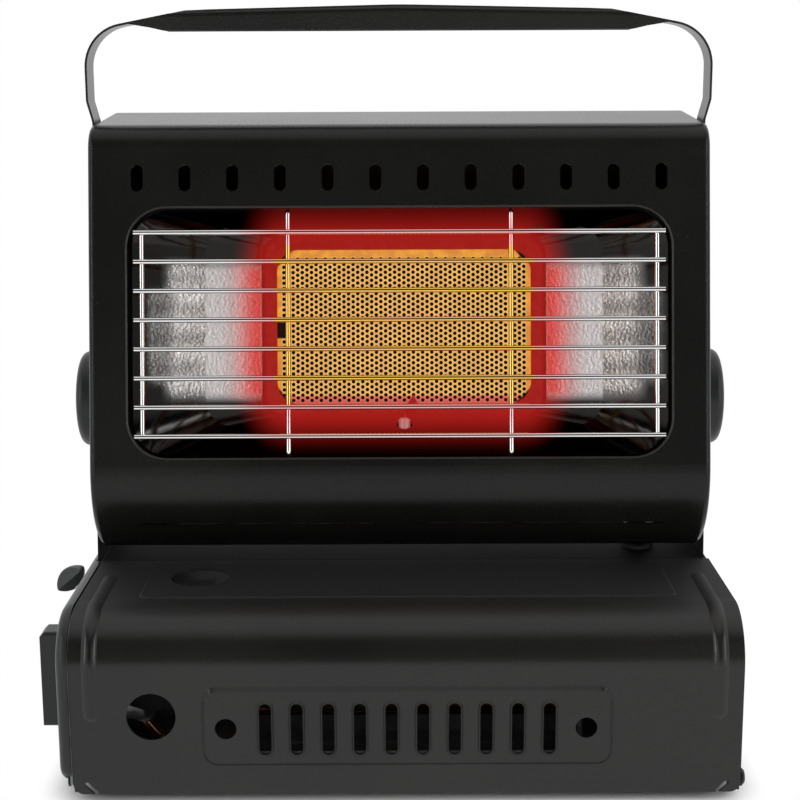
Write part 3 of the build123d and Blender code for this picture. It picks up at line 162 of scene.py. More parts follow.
class Finish(Tree):
    """A material in the making: plain sockets are set by name, the rest is added node by node."""

    def __init__(self, name, **plain):
        self.material = bpy.data.materials.new(name)
        self.material.use_nodes = True
        self.tree = self.material.node_tree
        self.shader = self.tree.nodes["Principled BSDF"]
        for socket, value in plain.items():
            self.shader.inputs[socket.replace("_", " ")].default_value = value

    def place(self):
        """Object coordinates, which are the heater's own metres."""
        return self.node("ShaderNodeTexCoord").part("Object")

    def axes(self, vector):
        split = self.node("ShaderNodeSeparateXYZ", None, {0: vector})
        return split, split.part("Y"), split.part("Z")

    def noise(self, scale, detail=2.0, at=None, **more):
        sockets = {"Vector": at or self.place(), "Scale": scale, "Detail": detail, **more}
        return self.node("ShaderNodeTexNoise", None, sockets)

    def cells(self, scale, feature="F1"):
        sockets = {"Vector": self.place(), "Scale": scale}
        return self.node("ShaderNodeTexVoronoi", {"feature": feature}, sockets)

    def mix(self, share, first, second):
        """A colour that is first where share is 0 and second where it is 1."""
        made = self.node("ShaderNodeMix", {"data_type": "RGBA"}, {0: share, 6: first, 7: second})
        return Value(self, made.socket.node.outputs[2])

    def bump(self, height, depth, strength):
        sockets = {"Height": height, "Distance": depth, "Strength": strength}
        return self.node("ShaderNodeBump", None, sockets)

    def feed(self, **links):
        for socket, value in links.items():
            self.tree.links.new(value.socket, self.shader.inputs[socket.replace("_", " ")])
        return self


def grey(level, tint=(1, 1, 1)):
    return (level * tint[0], level * tint[1], level * tint[2], 1)


def outside(across, along, width, height, corner):
    """How far a point lies outside a rounded rectangle, negative inside."""
    dx, dy = abs(across) - (width / 2 - corner), abs(along) - (height / 2 - corner)
    far = (dx.most(0) * dx.most(0) + dy.most(0) * dy.most(0)).root()
    return far + dx.most(dy).least(0) - corner


SWEEP_WHITE, SWEEP_SHADED = 0.86, 0.02
FOOT_W, FOOT_D, FOOT_CORNER, FOOT_AHEAD = 0.285, 0.185, 0.02, 0.003      # the heater's footprint
SHADOW = (-0.004, 0.014)      # past the footprint's edge: the shadow is kept under and close to it
MIRRORED = (-0.012, -0.004)   # gloss sees the lit sweep only outside the footprint
SHADE = (-0.020, -0.002)      # under the heater the sweep is dark

sweep = Finish("white_sweep", Base_Color=grey(SWEEP_WHITE), Roughness=0.9, Specular_IOR_Level=0.0)
rays = sweep.node("ShaderNodeLightPath")
x, y, z = sweep.axes(sweep.place())
reach = outside(x, y + FOOT_AHEAD, FOOT_W, FOOT_D, FOOT_CORNER)
shadow_gone = reach.step(*SHADOW)
seen = (rays.part("Is Camera Ray") * shadow_gone).most(rays.part("Is Glossy Ray"))
seen = seen.most(rays.part("Is Transmission Ray") * shadow_gone) * reach.step(*MIRRORED)
white = sweep.node("ShaderNodeEmission", None, {0: grey(1), 1: 1.0})
mixed = sweep.node("ShaderNodeMixShader", None, {0: seen})
sweep.feed(Base_Color=sweep.mix(reach.step(*SHADE), grey(SWEEP_SHADED), grey(SWEEP_WHITE)))
sweep.tree.links.new(sweep.shader.outputs[0], mixed.socket.node.inputs[1])
sweep.tree.links.new(white.socket, mixed.socket.node.inputs[2])
sweep.tree.links.new(mixed.socket, sweep.tree.nodes["Material Output"].inputs[0])

floor_mesh = bpy.data.meshes.new("floor")
FLOOR_REACH = 9
corners = [(side * FLOOR_REACH, end * FLOOR_REACH, 0) for side, end in ((-1, -1), (1, -1), (1, 1), (-1, 1))]
floor_mesh.from_pydata(corners, [], [(0, 1, 2, 3)])
floor = bpy.data.objects.new("floor", floor_mesh)
floor_mesh.materials.append(sweep.material)
bpy.context.scene.collection.objects.link(floor)

room = bpy.data.worlds.new("room")
bpy.context.scene.world = room
room.use_nodes = True


class Room(Finish):
    """The world's tree, written with the same calls."""

    def __init__(self, world):
        self.tree = world.node_tree
        self.shader = self.tree.nodes["Background"]


AMBIENT = 0.45
DARK, WALLS, STRIPS, TOP, REAR = 0.02, 0.80, 7.0, 0.90, 1.0      # what gloss mirrors, by direction
IN_FRONT = (-0.05, 0.20)                                         # limits are parts of a unit direction
LEVEL_TOP, LEVEL_FOOT, OVERHEAD = (0.50, 0.72), (-0.35, -0.15), (0.72, 0.95)
NEAR_WALL, NEAR_WALL_END, FAR_WALL = (0.27, 0.35), (0.58, 0.64), (0.84, 0.92)
STRIP, STRIP_END = (0.66, 0.70), (0.75, 0.79)

walls = Room(room)
rays = walls.node("ShaderNodeLightPath")
glossy = rays.part("Is Glossy Ray")
seen = rays.part("Is Camera Ray").most(rays.part("Is Transmission Ray"))
across, along, up = walls.axes(walls.node("ShaderNodeTexCoord").part("Generated"))
ahead = (0 - along).step(*IN_FRONT)           # 1 in front of the heater, 0 behind it
side = abs(across)
level_with = (1 - up.step(*LEVEL_TOP)) * up.step(*LEVEL_FOOT)
near_wall = side.step(*NEAR_WALL) * (1 - side.step(*NEAR_WALL_END))
wall = (near_wall + side.step(*FAR_WALL)) * WALLS
strip = side.step(*STRIP) * (1 - side.step(*STRIP_END)) * STRIPS
front = DARK + (wall + strip) * level_with + up.step(*OVERHEAD) * TOP
mirrored = REAR + ahead * (front - REAR)
level = seen + (1 - seen) * (glossy * mirrored + (1 - glossy) * AMBIENT)
walls.tree.links.new(level.socket, walls.shader.inputs["Strength"])
walls.shader.inputs["Color"].default_value = grey(1)


def soft_box(name, at, towards, width, height, power):
    lamp = bpy.data.lights.new(name, "AREA")
    lamp.shape, lamp.size, lamp.size_y, lamp.energy = "RECTANGLE", width, height, power
    made = bpy.data.objects.new(name, lamp)
    made.location = at
    made.rotation_euler = (Vector(towards) - Vector(at)).to_track_quat("-Z", "Y").to_euler()
    made.visible_glossy = False               # gloss mirrors the room's own strips and walls
    bpy.context.scene.collection.objects.link(made)


soft_box("overhead", (0, 0.6, 1.4), (0, 0, 0.1), width=1.6, height=1.0, power=9)
soft_box("front_fill", (0, -1.7, 0.7), (0, 0, 0.12), width=1.6, height=0.9, power=9)
for name, side in (("left_strip", -1), ("right_strip", 1)):
    soft_box(name, (side * 1.4, -0.5, 0.7), (0, 0, 0.15), width=0.4, height=1.4, power=7)


# ---- base cover, deck, arms, head and handle: black powder coat ------------------------------------
# Pressed steel sheet, degreased, sprayed with satin black powder and baked. The coat has the fine
# orange peel of powder, a slightly uneven gloss, and a few pale specks of dust baked into it.
DUST, HEAD_SHADE_COLOUR = 0.12, 0.002                      # colours of the dust specks and of the painted shade under the head
NEAR_HEAD_Y, NEAR_HEAD_Z = (-0.100, -0.062), (0.070, 0.086)


def powder_coat(name, colour, roughness, dull_in_head_shade=0.0, shine=0.42):
    coat = Finish(name, Specular_IOR_Level=shine)
    cloudy = coat.noise(9, 3.0, Roughness=0.6)
    peel, fine = coat.noise(750, 2.0), coat.noise(2600, 1.0)
    specks = coat.cells(260).step(0.075, 0.05) * coat.noise(31).step(0.52, 0.62)
    thin = grey(colour * 1.2, (1.04, 1.0, 0.90))
    thick = grey(colour * 0.85, (1.0, 1.0, 0.92))
    base = coat.mix(cloudy.step(0.35, 0.65), thick, thin)
    base = coat.mix(specks * 0.25, base, grey(DUST))
    gloss = roughness + (cloudy - 0.5) * 0.10 + (fine - 0.5) * 0.08 + specks * 0.15
    if dull_in_head_shade:                                # under the head the coat is painted darker, as the head's shade, and made duller
        x, y, z = coat.axes(coat.place())
        shaded_by_head = y.step(*NEAR_HEAD_Y) * z.step(*NEAR_HEAD_Z)
        base = coat.mix(shaded_by_head * 0.85, base, grey(HEAD_SHADE_COLOUR))
        gloss = gloss + shaded_by_head * dull_in_head_shade
    normal = coat.bump(peel + fine * 0.35, 0.00012, 0.35)
    return coat.feed(Base_Color=base, Roughness=gloss, Normal=normal).material


def dress(nodes, material):
    """Gives CAD nodes a finish in place of their plain one."""
    for name in nodes:
        slots = frame["nodes"][name].material_slots
        for slot in slots:
            slot.material = material
        if not slots:
            frame["nodes"][name].data.materials.append(material)


dress(("canister_cover",),
      powder_coat("powder_coat_cover", colour=0.0075, roughness=0.25, dull_in_head_shade=0.65))
dress(("left_arm", "right_arm", "rear_deck"),
      powder_coat("powder_coat_base", colour=0.0055, roughness=0.36, dull_in_head_shade=0.5, shine=0.25))
dress(("head_shell", "head_back", "head_bottom"),
      powder_coat("powder_coat_head", colour=0.0055, roughness=0.27, shine=0.26))
dress(("carry_handle",),
      powder_coat("powder_coat_handle", colour=0.0075, roughness=0.28))
# The valve bracket has the base's coat, its colour painted darker as the shade inside the base.
dress(("valve_bracket",),
      powder_coat("powder_coat_inside_shaded", colour=0.0015, roughness=0.60, shine=0.1))


# ---- tray, partition, cradle and brackets: galvanised sheet ----------------------------------------
# Hot-dip galvanised steel, blanked and folded. The zinc has frozen into spangles a few millimetres
# across, each a little lighter or darker than the next, with faint marks from rolling.
def galvanised():
    zinc = Finish("galvanised", Metallic=0.9)
    flakes = zinc.cells(170)
    tone = flakes.part("Color")
    red, green, blue = zinc.axes(tone)
    drawn_out = zinc.node("ShaderNodeMapping", None, {0: zinc.place(), "Scale": (1, 14, 14)})
    rolled = zinc.noise(60, 2.0, drawn_out)
    share = red * 0.6 + rolled * 0.4
    base = zinc.mix(share, grey(0.15, (0.97, 1, 1.02)), grey(0.30, (0.98, 1, 1.02)))
    return zinc.feed(Base_Color=base, Roughness=0.36 + green * 0.16,
                     Normal=zinc.bump(blue, 0.00003, 0.5)).material


dress(("base_tray", "partition", "canister_cradle", "slide_guides", "lever_bracket", "burner_box",
       "venturi_tube", "injector_bracket", "electrode_clip"), galvanised())


# ---- end panel, knobs, lever's thumb piece, igniter: black plastic ---------------------------------
# Glass-filled nylon, injection moulded. The tool was spark eroded, so the surface is finely pitted
# and breaks the light up; the black leans a little to green.
def moulded(name, colour, roughness):
    nylon = Finish(name, Specular_IOR_Level=0.4)
    pits, flow = nylon.noise(3200, 1.0), nylon.noise(22, 2.0, Distortion=0.6)
    base = nylon.mix(flow, grey(colour * 0.9, (0.8, 1, 1)), grey(colour * 1.15, (0.88, 1.02, 1)))
    return nylon.feed(Base_Color=base, Roughness=roughness + pits * 0.14,
                      Normal=nylon.bump(pits, 0.00005, 0.55)).material


dress(("left_end_panel", "control_knob", "lever_paddle", "left_tilt_knob", "right_tilt_knob",
       "pivot_washers", "piezo_igniter"), moulded("moulded_nylon", colour=0.0105, roughness=0.32))


# ---- lever, pusher, spindle and fasteners: zinc plate, bright or black ------------------------------
# Cold-formed steel, barrel plated with zinc and passivated, so it is bright but faintly yellow and
# blue, with fine scuffs from the barrel. The screws and rivets are passivated black, and worn pale.
def zinc_plate():
    plate = Finish("zinc_plate", Metallic=1.0)
    hue, scuffs = plate.noise(70, 2.0), plate.noise(900, 3.0)
    base = plate.mix(hue.step(0.4, 0.6), grey(0.50, (1.05, 1.0, 0.9)), grey(0.54, (0.94, 1.0, 1.05)))
    return plate.feed(Base_Color=base, Roughness=0.22 + scuffs * 0.16,
                      Normal=plate.bump(scuffs, 0.00003, 0.4)).material


def black_zinc():
    plate = Finish("black_zinc", Metallic=1.0)
    wear, scuffs = plate.noise(120, 3.0), plate.noise(900, 3.0)
    base = plate.mix(wear.step(0.55, 0.75), grey(0.020, (0.95, 1.0, 1.0)), grey(0.060))
    return plate.feed(Base_Color=base, Roughness=0.30 + scuffs * 0.2,
                      Normal=plate.bump(scuffs, 0.00003, 0.4)).material


dress(("pivot_nuts", "lock_lever", "canister_pusher", "valve_spindle"), zinc_plate())
dress(("panel_screws", "arm_rivets", "hinge_rivets", "back_screws", "handle_rivets"), black_zinc())


# ---- reflector: polished steel dish with hammered sides --------------------------------------------
# Pressed from bright stainless sheet. The sloping sides are hammered to spread the heat, the rest is
# left as rolled. The colour is painted by zone, as painted reflections: the smooth steel near black, the
# hammered slopes light and the band at the rim darker, crossed by painted reflections of the guard's
# wires; round the lit burner it has a painted red glow, in its colour and as emission.
LEAN = radians(10.84)
FACE = Vector((0, -27.6, 188.8)) * MM        # middle of the window, on the leaning face
UP, OUT = Vector((0, sin(LEAN), cos(LEAN))), Vector((0, -cos(LEAN), sin(LEAN)))
BURNER = FACE + Vector((2 * MM, 0, 0)) + UP * 3.7 * MM


def on_face(finish):
    """Distances in millimetres across and up the face from the burner's middle, and back from the face."""
    x, y, z = finish.axes(finish.place())
    y, z = y - BURNER.y, z - BURNER.z
    return ((x - BURNER.x) * 1000, (y * UP.y + z * UP.z) * 1000, (y * -OUT.y + z * -OUT.z) * 1000)


FRAME_W, FRAME_H, FRAME_CORNER = 122, 78, 10             # millimetres, as all that on_face gives


def painted_glow_halo(across, up, reach):
    """Where the painted glow lies: 1 beside the lit burner, falling to 0 at reach millimetres from its
    frame.
    """
    return (1 - outside(across, up, FRAME_W, FRAME_H, FRAME_CORNER).step(-1, reach)) ** 1.3


# The slopes lie this far out from the burner's middle; WIRE_STEP is the guard's pitch as mirrored there,
# for the painted reflections of its wires. The last two are the reaches of the painted glow and of the
# painted red tint.
INNER_FROM, SLOPES_MEET, OUTER_TO = (64, 66), (89.6, 90.6), (101, 109)
RIM_FROM, RIM_TO = (101, 107), (110, 116)
WIRE_STEP, WIRE_SHIFT, GLOW, PAINTED_RED_REACH = 13.4, 0.9, 19, 20


def reflector_steel():
    steel = Finish("reflector_steel", Metallic=1.0, Specular_Tint=grey(0.0), Emission_Strength=1.0)
    across, up, depth = on_face(steel)
    out = abs(across)
    fold = out.step(*SLOPES_MEET)
    inner = out.step(*INNER_FROM) * (1 - fold) * (1 - abs(up + 2).step(27, 33))
    outer = fold * (1 - out.step(*OUTER_TO)) * (1 - abs(up + 2).step(25, 34))
    rim = out.step(*RIM_FROM) * (1 - out.step(*RIM_TO)) * (1 - abs(up + 5).step(16, 24))
    # Painted reflections of the guard's wires, one band for each wire.
    wire_reflection_bands = 0.5 + 0.5 * (up * (2 * pi / WIRE_STEP) + WIRE_SHIFT).sine()
    cloud = steel.noise(70, 2.0).step(0.3, 0.7)
    dents, grain = steel.cells(760, "SMOOTH_F1"), steel.noise(1500, 2.0)
    # Painted reflections by zone: the smooth steel near black, the inner hammered slopes light.
    base = steel.mix(inner, grey(0.028, (1, 0.96, 0.92)), grey(0.80, (1, 0.97, 0.97)))
    # The outer slopes light and the band at the rim darker, both crossed by the wires' painted reflections.
    base = steel.mix(outer * (0.45 + 0.40 * wire_reflection_bands + 0.15 * cloud), base, grey(0.74, (0.97, 1, 1)))
    base = steel.mix(rim * (0.35 + 0.35 * wire_reflection_bands + 0.3 * cloud), base, grey(0.28, (0.97, 1, 1)))
    # Painted red glow: on the inner slopes nearest the burner, and dull red on the smooth steel beside it.
    base = steel.mix(inner * out.step(84, 66), base, (0.95, 0.12, 0.11, 1))
    smooth = (1 - inner) * (1 - outer) * (1 - rim)
    base = steel.mix(smooth * painted_glow_halo(across, up, PAINTED_RED_REACH), base, (0.06, 0.006, 0.006, 1))
    rough = 0.10 + inner * 0.22 + (outer + rim).least(1) * (0.22 + grain * 0.12)
    hammered = steel.bump(dents + grain * 0.4, 0.0005, inner * 0.25 + (outer + rim).least(1) * 0.85)
    # A painted red glow beside the burner, though the steel is no lamp.
    glow_colour = steel.mix(painted_glow_halo(across, up, GLOW) * (1 - inner), grey(0), (0.38, 0.013, 0.010, 1))
    return steel.feed(Base_Color=base, Roughness=rough, Normal=hammered, Emission_Color=glow_colour).material


dress(("reflector",), reflector_steel())


# ---- rolled edge of the window ---------------------------------------------------------------------
# The head's sheet is rolled over all round the window, which leaves a thin round edge that catches the
# light, and keeps the cut edge off the hands. It has the head's coat, painted lighter as a painted
# highlight.
WINDOW_W, WINDOW_H, WINDOW_R, EDGE_R = 238.0 * MM, 109.4 * MM, 17.5 * MM, 0.55 * MM


def rolled_edge(width, height, corner, radius, arc_steps=10, sides=8):
    edge = bmesh.new()
    rings = []
    for quarter in range(4):
        sign_x, sign_y = (1, -1, -1, 1)[quarter], (1, 1, -1, -1)[quarter]
        middle_x, middle_y = sign_x * (width / 2 - corner), sign_y * (height / 2 - corner)
        for k in range(arc_steps + 1):
            turn = (quarter + k / arc_steps) * pi / 2
            ring = []
            for i in range(sides):
                roll = 2 * pi * i / sides
                out = corner + radius * cos(roll)
                across, along = middle_x + out * cos(turn), middle_y + out * sin(turn)
                place = FACE + UP * along + OUT * (radius * sin(roll))
                ring.append(edge.verts.new(place + Vector((across, 0, 0))))
            rings.append(ring)
    for ring, after in zip(rings, rings[1:] + rings[:1]):
        for i in range(sides):
            j = (i + 1) % sides
            edge.faces.new((ring[i], ring[j], after[j], after[i]))
    bmesh.ops.recalc_face_normals(edge, faces=edge.faces)
    for face in edge.faces:
        face.smooth = True
    mesh = bpy.data.meshes.new("window_edge")
    edge.to_mesh(mesh)
    piece = bpy.data.objects.new("window_edge", mesh)
    bpy.context.scene.collection.objects.link(piece)
    # Lighter than the head's coat: a painted highlight on the edge.
    mesh.materials.append(powder_coat("powder_coat_edge_highlight", colour=0.012, roughness=0.20))
    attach(piece, "head")


rolled_edge(WINDOW_W + EDGE_R, WINDOW_H + EDGE_R, WINDOW_R, EDGE_R)


# ---- burner plaque: perforated ceramic, lit --------------------------------------------------------
# A cordierite plaque, pressed with some fourteen hundred flame ports on a triangular pitch and fired.
# The gas burns just inside the ports: the land glows orange, palest at the ports' rims.
PORT_PITCH, PORT_RADIUS, PORT_DEPTH, PORT_SIDES = 2.443 * MM, 0.90 * MM, 1.8 * MM, 12
PORT_COLUMNS, PORT_ROWS, PORTS_DOWN = 53, 27, 1.2 * MM      # the port field sits a little below the middle
PLAQUE_BACK, PLAQUE_W, PLAQUE_H, PLAQUE_THICK = 35.1 * MM, 120 * MM, 74.5 * MM, 10 * MM


def plaque_cell():
    """One port with the six-sided patch of land round it. Its attribute rim is 1 at the port."""
    cell = bmesh.new()
    rim = cell.verts.layers.float.new("rim")
    rings = []
    for radius, depth, lit in ((None, 0, 0), (PORT_RADIUS, 0, 1), (PORT_RADIUS, PORT_DEPTH, 1)):
        ring = []
        for i in range(PORT_SIDES):
            turn = 2 * pi * i / PORT_SIDES
            reach = radius or PORT_PITCH / 2 * (2 / sqrt(3) if i % 2 == 0 else 1)
            vert = cell.verts.new((reach * cos(turn), reach * sin(turn), -depth))
            vert[rim] = lit
            ring.append(vert)
        rings.append(ring)
    for outer, inner in zip(rings, rings[1:]):
        for i in range(PORT_SIDES):
            j = (i + 1) % PORT_SIDES
            cell.faces.new((outer[i], outer[j], inner[j], inner[i]))
    cell.faces.new(rings[-1])
    mesh = bpy.data.meshes.new("plaque_cell")
    cell.to_mesh(mesh)
    return bpy.data.objects.new("plaque_cell", mesh)


SAME_POINT = 0.02 * MM


class Pattern(Tree):
    """A geometry tree in the making, run once on an empty mesh and turned into a plain piece."""

    def __init__(self, name, **inputs):
        self.tree = bpy.data.node_groups.new(name, "GeometryNodeTree")
        self.face, self.values = self.tree.interface, inputs
        self.face.new_socket("Geometry", in_out="OUTPUT", socket_type="NodeSocketGeometry")
        self.ids = {}
        for key, value in inputs.items():
            kind = "NodeSocketInt" if isinstance(value, int) else "NodeSocketFloat"
            if isinstance(value, bpy.types.Object):
                kind = "NodeSocketObject"
            self.ids[key] = self.face.new_socket(key, in_out="INPUT", socket_type=kind).identifier
        self.given = self.tree.nodes.new("NodeGroupInput")

    def given_value(self, name):
        return Value(self, self.given.outputs[name])

    def piece(self, name, geometry, material):
        """Ends the tree with Realize Instances and Set Material, and bakes it to a mesh."""
        whole = self.node("GeometryNodeRealizeInstances", None, {0: geometry})
        merged = self.node("GeometryNodeMergeByDistance", None, {0: whole, "Distance": SAME_POINT})
        coloured = self.node("GeometryNodeSetMaterial", None, {0: merged, "Material": material})
        self.tree.links.new(coloured.socket, self.tree.nodes.new("NodeGroupOutput").inputs[0])
        blank = bpy.data.objects.new(name, bpy.data.meshes.new(name + "_seed"))
        bpy.context.scene.collection.objects.link(blank)
        live = blank.modifiers.new("pattern", "NODES")
        live.node_group = self.tree
        for key, value in self.values.items():
            live[self.ids[key]] = value
        baked = bpy.data.meshes.new_from_object(blank.evaluated_get(bpy.context.evaluated_depsgraph_get()))
        blank.modifiers.remove(live)
        blank.data = baked
        baked.name = name
        return blank


DUSKY_FROM = (30.6, 32.4)                      # below the burner's middle the lowest ports burn red
CUT_CORNERS = (86.5, 88.0)                     # across plus up, where the frame's corners shade the clay
NOTCH_FROM, NOTCH_HALF, NOTCH_UP = (53.6, 54.2), (4.2, 5.0), 0.5
BELOW_LAND = (35.12, 35.35)                    # back from the face, just inside the ports


def fired_ceramic():
    clay = Finish("fired_ceramic", Roughness=0.8, Specular_IOR_Level=0.1, Emission_Strength=0.9)
    across, up, depth = on_face(clay)
    mottle, fine = clay.noise(190, 3.0), clay.noise(900, 2.0)
    rim = clay.node("ShaderNodeAttribute", {"attribute_name": "rim"}).part("Fac")
    land = clay.mix(mottle.step(0.35, 0.7), (0.60, 0.19, 0.004, 1), (0.82, 0.32, 0.012, 1))
    warm = clay.mix(rim ** 1.6, land, (1.0, 0.74, 0.27, 1))
    dusky = clay.mix(rim, (0.52, 0.04, 0.04, 1), (0.80, 0.12, 0.11, 1))
    glow_colour = clay.mix((0 - up).step(*DUSKY_FROM), warm, dusky)
    corner = (abs(across) + abs(up) + mottle * 3).step(*CUT_CORNERS)
    notch = (0 - across).step(*NOTCH_FROM) * (1 - abs(up + NOTCH_UP).step(*NOTCH_HALF))
    # Under the frame's corners, in the notch at the left edge and inside the ports the clay does not glow,
    # and its colour is painted near black: painted shade in the ports' bores and under the frame's corners.
    unlit_and_shaded = corner.most(notch).most(depth.step(*BELOW_LAND))
    glow_colour = clay.mix(unlit_and_shaded, glow_colour, (0.010, 0.004, 0.001, 1))
    fired = clay.mix(unlit_and_shaded, grey(0.20, (1, 0.7, 0.40)), grey(0.008, (1, 0.4, 0.2)))
    return clay.feed(Base_Color=fired, Emission_Color=glow_colour, Normal=clay.bump(fine, 0.0001, 0.5)).material


def fired_plaque():
    rows = Pattern("flame_ports", Cell=plaque_cell(), Pitch=PORT_PITCH, Columns=PORT_COLUMNS, Rows=PORT_ROWS)
    pitch, column, row = (rows.given_value(name) for name in ("Pitch", "Columns", "Rows"))
    step = pitch * (sqrt(3) / 2)
    grid = rows.node("GeometryNodeMeshGrid", None, {
        "Size X": step * (column - 1), "Size Y": pitch * (row - 1), "Vertices X": column, "Vertices Y": row})
    place = rows.node("GeometryNodeInputPosition")
    across = rows.node("ShaderNodeSeparateXYZ", None, {0: place})
    number = across.join("ROUND", across / step + (column - 1) / 2)
    odd = number.join("MODULO", number, 2.0)
    shift = rows.node("ShaderNodeCombineXYZ", None, {"Y": (odd - 0.5) * pitch / 2})
    staggered = rows.node("GeometryNodeSetPosition", None, {"Geometry": grid, "Offset": shift})
    cell = rows.node("GeometryNodeObjectInfo", None, {0: rows.given_value("Cell")}).part("Geometry")
    ports = rows.node("GeometryNodeInstanceOnPoints", None, {"Points": staggered, "Instance": cell})
    clay = fired_ceramic()
    plaque = rows.piece("plaque", ports, clay)
    body = bmesh.new()
    body.from_mesh(plaque.data)
    field_x, field_y = (max(abs(v.co[i]) for v in body.verts) for i in (0, 1))
    for drop in (0, PLAQUE_THICK):            # the plain land round the ports, then the sides
        edge = [e for e in body.edges if e.is_boundary]
        grown = bmesh.ops.extrude_edge_only(body, edges=edge)["geom"]
        for vert in (v for v in grown if isinstance(v, bmesh.types.BMVert)):
            if abs(vert.co.x) > field_x - PORT_PITCH * 0.6:
                vert.co.x = PLAQUE_W / 2 if vert.co.x > 0 else -PLAQUE_W / 2
            if abs(vert.co.y) > field_y - PORT_PITCH * 0.6:
                vert.co.y = (PLAQUE_H / 2 if vert.co.y > 0 else -PLAQUE_H / 2) + PORTS_DOWN
            vert.co.z = -drop
    bmesh.ops.holes_fill(body, edges=[e for e in body.edges if e.is_boundary], sides=0)
    bmesh.ops.recalc_face_normals(body, faces=body.faces)
    body.transform(Matrix.Translation(BURNER - OUT * PLAQUE_BACK - UP * PORTS_DOWN) @ Matrix((
        (1, 0, 0, 0), (0, UP.y, OUT.y, 0), (0, UP.z, OUT.z, 0), (0, 0, 0, 1))))
    body.to_mesh(plaque.data)
    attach(plaque, "head")
    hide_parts("ceramic_plaque")


fired_plaque()


# ---- plaque frame: stainless strip, with a painted red glow ----------------------------------------
# Folded from thin stainless strip, spot welded to the dish. It has scaled in use; its dull red colour
# and its glow round the plaque are a painted red glow, though the frame is no lamp.
def frame_painted_glow():
    strip = Finish("frame_painted_glow", Metallic=1.0, Specular_Tint=grey(0), Emission_Strength=1.0)
    across, up, depth = on_face(strip)
    scale = strip.noise(240, 3.0)
    # Painted red glow, in the emission and in the base colour.
    glow_colour = strip.mix(scale, (0.26, 0.004, 0.001, 1), (0.34, 0.008, 0.005, 1))
    return strip.feed(Base_Color=strip.mix(scale, (0.10, 0.02, 0.02, 1), (0.20, 0.04, 0.04, 1)),
                      Roughness=0.35 + scale * 0.2, Emission_Color=glow_colour).material


dress(("plaque_frame",), frame_painted_glow())


# ---- gasket, spark insulator and electrode: fibre, glaze and steel with a painted glow --------------
# The gasket is a strip of ceramic-fibre blanket, soft and matted. The insulator is a glazed alumina
# tube, its colour painted red as the burner's light on it, and the electrode in it has the frame's painted
# red glow.
def fibre():
    wool = Finish("ceramic_fibre", Roughness=0.95)
    strands = wool.noise(1200, 4.0, Distortion=1.5)
    return wool.feed(Base_Color=wool.mix(strands, grey(0.62, (1, 0.98, 0.93)), grey(0.85, (1, 0.99, 0.95))),
                     Normal=wool.bump(strands, 0.0003, 0.8)).material


def glazed():
    glaze = Finish("glazed_alumina", Coat_Weight=0.8)
    spots = glaze.noise(420, 2.0)
    # Painted red light from the burner, on glaze that is white.
    return glaze.feed(Base_Color=glaze.mix(spots, (0.66, 0.20, 0.19, 1), (0.76, 0.26, 0.24, 1)),
                      Roughness=0.25 + spots * 0.15).material


dress(("plaque_gasket",), fibre())
dress(("electrode_insulator",), glazed())
dress(("spark_electrode",), frame_painted_glow())


# ---- wire guard: chromed steel rod -----------------------------------------------------------------
# Drawn rod, welded at each crossing and chrome plated. It mirrors the room; the red halo beside the
# burner and the plaque itself are painted on it, as a pink and an orange painted reflection.
LIT_W, LIT_H, LIT_CORNER, WIRE_GLOW = 113, 69, 6, 22      # millimetres: where the wires carry the plaque's painted reflection


def chrome():
    plated = Finish("chrome_plate", Metallic=1.0)
    across, up, depth = on_face(plated)
    drawn = plated.noise(500, 2.0)
    cool = plated.mix(drawn, grey(0.80, (1, 0.99, 0.98)), grey(0.90, (1, 0.99, 0.98)))
    # Painted reflections: pink from the red halo, and orange over the burner from the plaque.
    painted_halo_reflection = plated.mix(painted_glow_halo(across, up, WIRE_GLOW), cool, (0.92, 0.40, 0.40, 1))
    over_burner = outside(across, up, LIT_W, LIT_H, LIT_CORNER).step(0.8, -0.4)
    lit = plated.mix(over_burner, painted_halo_reflection, (0.85, 0.52, 0.12, 1))
    return plated.feed(Base_Color=lit, Roughness=0.02 + drawn * 0.03,
                       Normal=plated.bump(drawn, 0.00002, 0.15)).material


dress(("wire_guard",), chrome())


# ---- gas line: copper pipe, brass injector, die-cast regulator -------------------------------------
# Soft copper tube bent on formers, a turned brass injector with its elbow, and a regulator body cast
# in zinc alloy and tumbled. The copper has dulled where it was handled.
def soft_metal(name, dark, light, roughness, scale, depth):
    metal = Finish(name, Metallic=1.0)
    worn, grain = metal.noise(scale, 3.0), metal.noise(1400, 2.0)
    return metal.feed(Base_Color=metal.mix(worn.step(0.3, 0.7), dark, light),
                      Roughness=roughness + worn * 0.18, Normal=metal.bump(grain, depth, 0.5)).material


dress(("gas_pipe",), soft_metal(
    "copper_pipe", dark=(0.42, 0.17, 0.09, 1), light=(0.74, 0.38, 0.24, 1),
    roughness=0.16, scale=90, depth=0.00002))
dress(("gas_injector",), soft_metal(
    "turned_brass", dark=(0.50, 0.36, 0.15, 1), light=(0.72, 0.57, 0.30, 1),
    roughness=0.18, scale=120, depth=0.00002))
dress(("gas_regulator",), soft_metal(
    "zinc_casting", dark=(0.34, 0.34, 0.33, 1), light=(0.50, 0.50, 0.49, 1),
    roughness=0.36, scale=200, depth=0.00012))


# ---- flexible pipe: corrugated stainless hose ------------------------------------------------------
# Thin stainless tube rolled into rings, so that the gas line bends as the head tilts. Its colour is
# painted dark, as painted shade under the chin where it stands.
# It is drawn straight, where the pipe that it replaces is thinner and bends back halfway up.
HOSE_RINGS, HOSE_SIDES, STEPS_A_RING = 14, 20, 4
CREST, DIP = 0.94, 0.80                        # shares of half the pipe's box


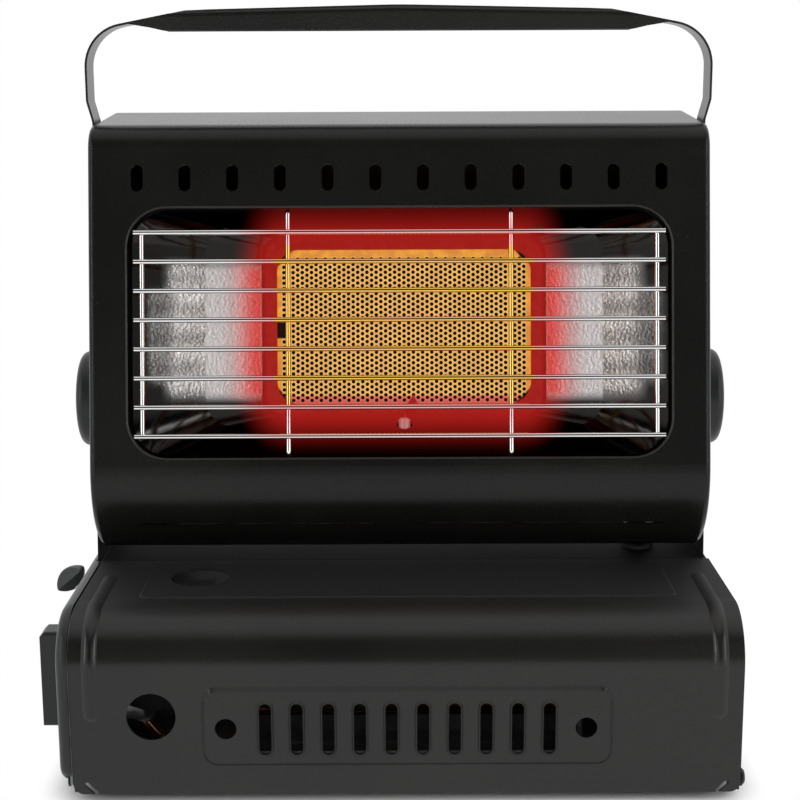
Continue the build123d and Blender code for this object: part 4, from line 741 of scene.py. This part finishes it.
def corrugated_hose():
    low, high = (Vector(corner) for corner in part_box("flexible_pipe"))
    middle, radius = (low + high) / 2, (high.x - low.x) / 2
    hose = bmesh.new()
    rings = []
    steps = HOSE_RINGS * STEPS_A_RING
    for i in range(steps + 1):
        z = low.z + (high.z - low.z) * i / steps
        wave = cos(i * 2 * pi / STEPS_A_RING)
        wide = radius * (CREST + DIP) / 2 - radius * (CREST - DIP) / 2 * wave
        rings.append([hose.verts.new((middle.x + wide * cos(2 * pi * k / HOSE_SIDES),
                                      middle.y + wide * sin(2 * pi * k / HOSE_SIDES), z))
                      for k in range(HOSE_SIDES)])
    for lower, upper in zip(rings, rings[1:]):
        for k in range(HOSE_SIDES):
            j = (k + 1) % HOSE_SIDES
            hose.faces.new((lower[k], lower[j], upper[j], upper[k]))
    hose.faces.new(rings[0][::-1])
    hose.faces.new(rings[-1])
    bmesh.ops.recalc_face_normals(hose, faces=hose.faces)
    mesh = bpy.data.meshes.new("corrugated_hose")
    hose.to_mesh(mesh)
    piece = bpy.data.objects.new("corrugated_hose", mesh)
    bpy.context.scene.collection.objects.link(piece)
    # Painted dark, as the shade under the chin.
    steel = Finish("steel_painted_dark", Metallic=1.0)
    tint, scuffs = steel.noise(120, 2.0), steel.noise(900, 3.0)
    mesh.materials.append(steel.feed(
        Base_Color=steel.mix(tint, (0.060, 0.050, 0.040, 1), (0.110, 0.095, 0.080, 1)),
        Roughness=0.28 + scuffs * 0.2, Normal=steel.bump(scuffs, 0.00003, 0.4)).material)
    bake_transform(piece)
    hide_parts("flexible_pipe")


corrugated_hose()


# ---- feet, seal and grommet: black rubber ----------------------------------------------------------
# Moulded nitrile, matt and faintly grey with bloom. The feet stand on the sweep, the seal is in the
# regulator's socket, and the grommet lines the hole in the deck.
def nitrile():
    rubber = Finish("nitrile", Specular_IOR_Level=0.3)
    bloom, pores = rubber.noise(60, 3.0), rubber.noise(1800, 1.0)
    return rubber.feed(Base_Color=rubber.mix(bloom, grey(0.018), grey(0.034)), Roughness=0.72 + pores * 0.15,
                       Normal=rubber.bump(pores, 0.00008, 0.6)).material


dress(("rubber_feet", "socket_seal", "deck_grommet"), nitrile())
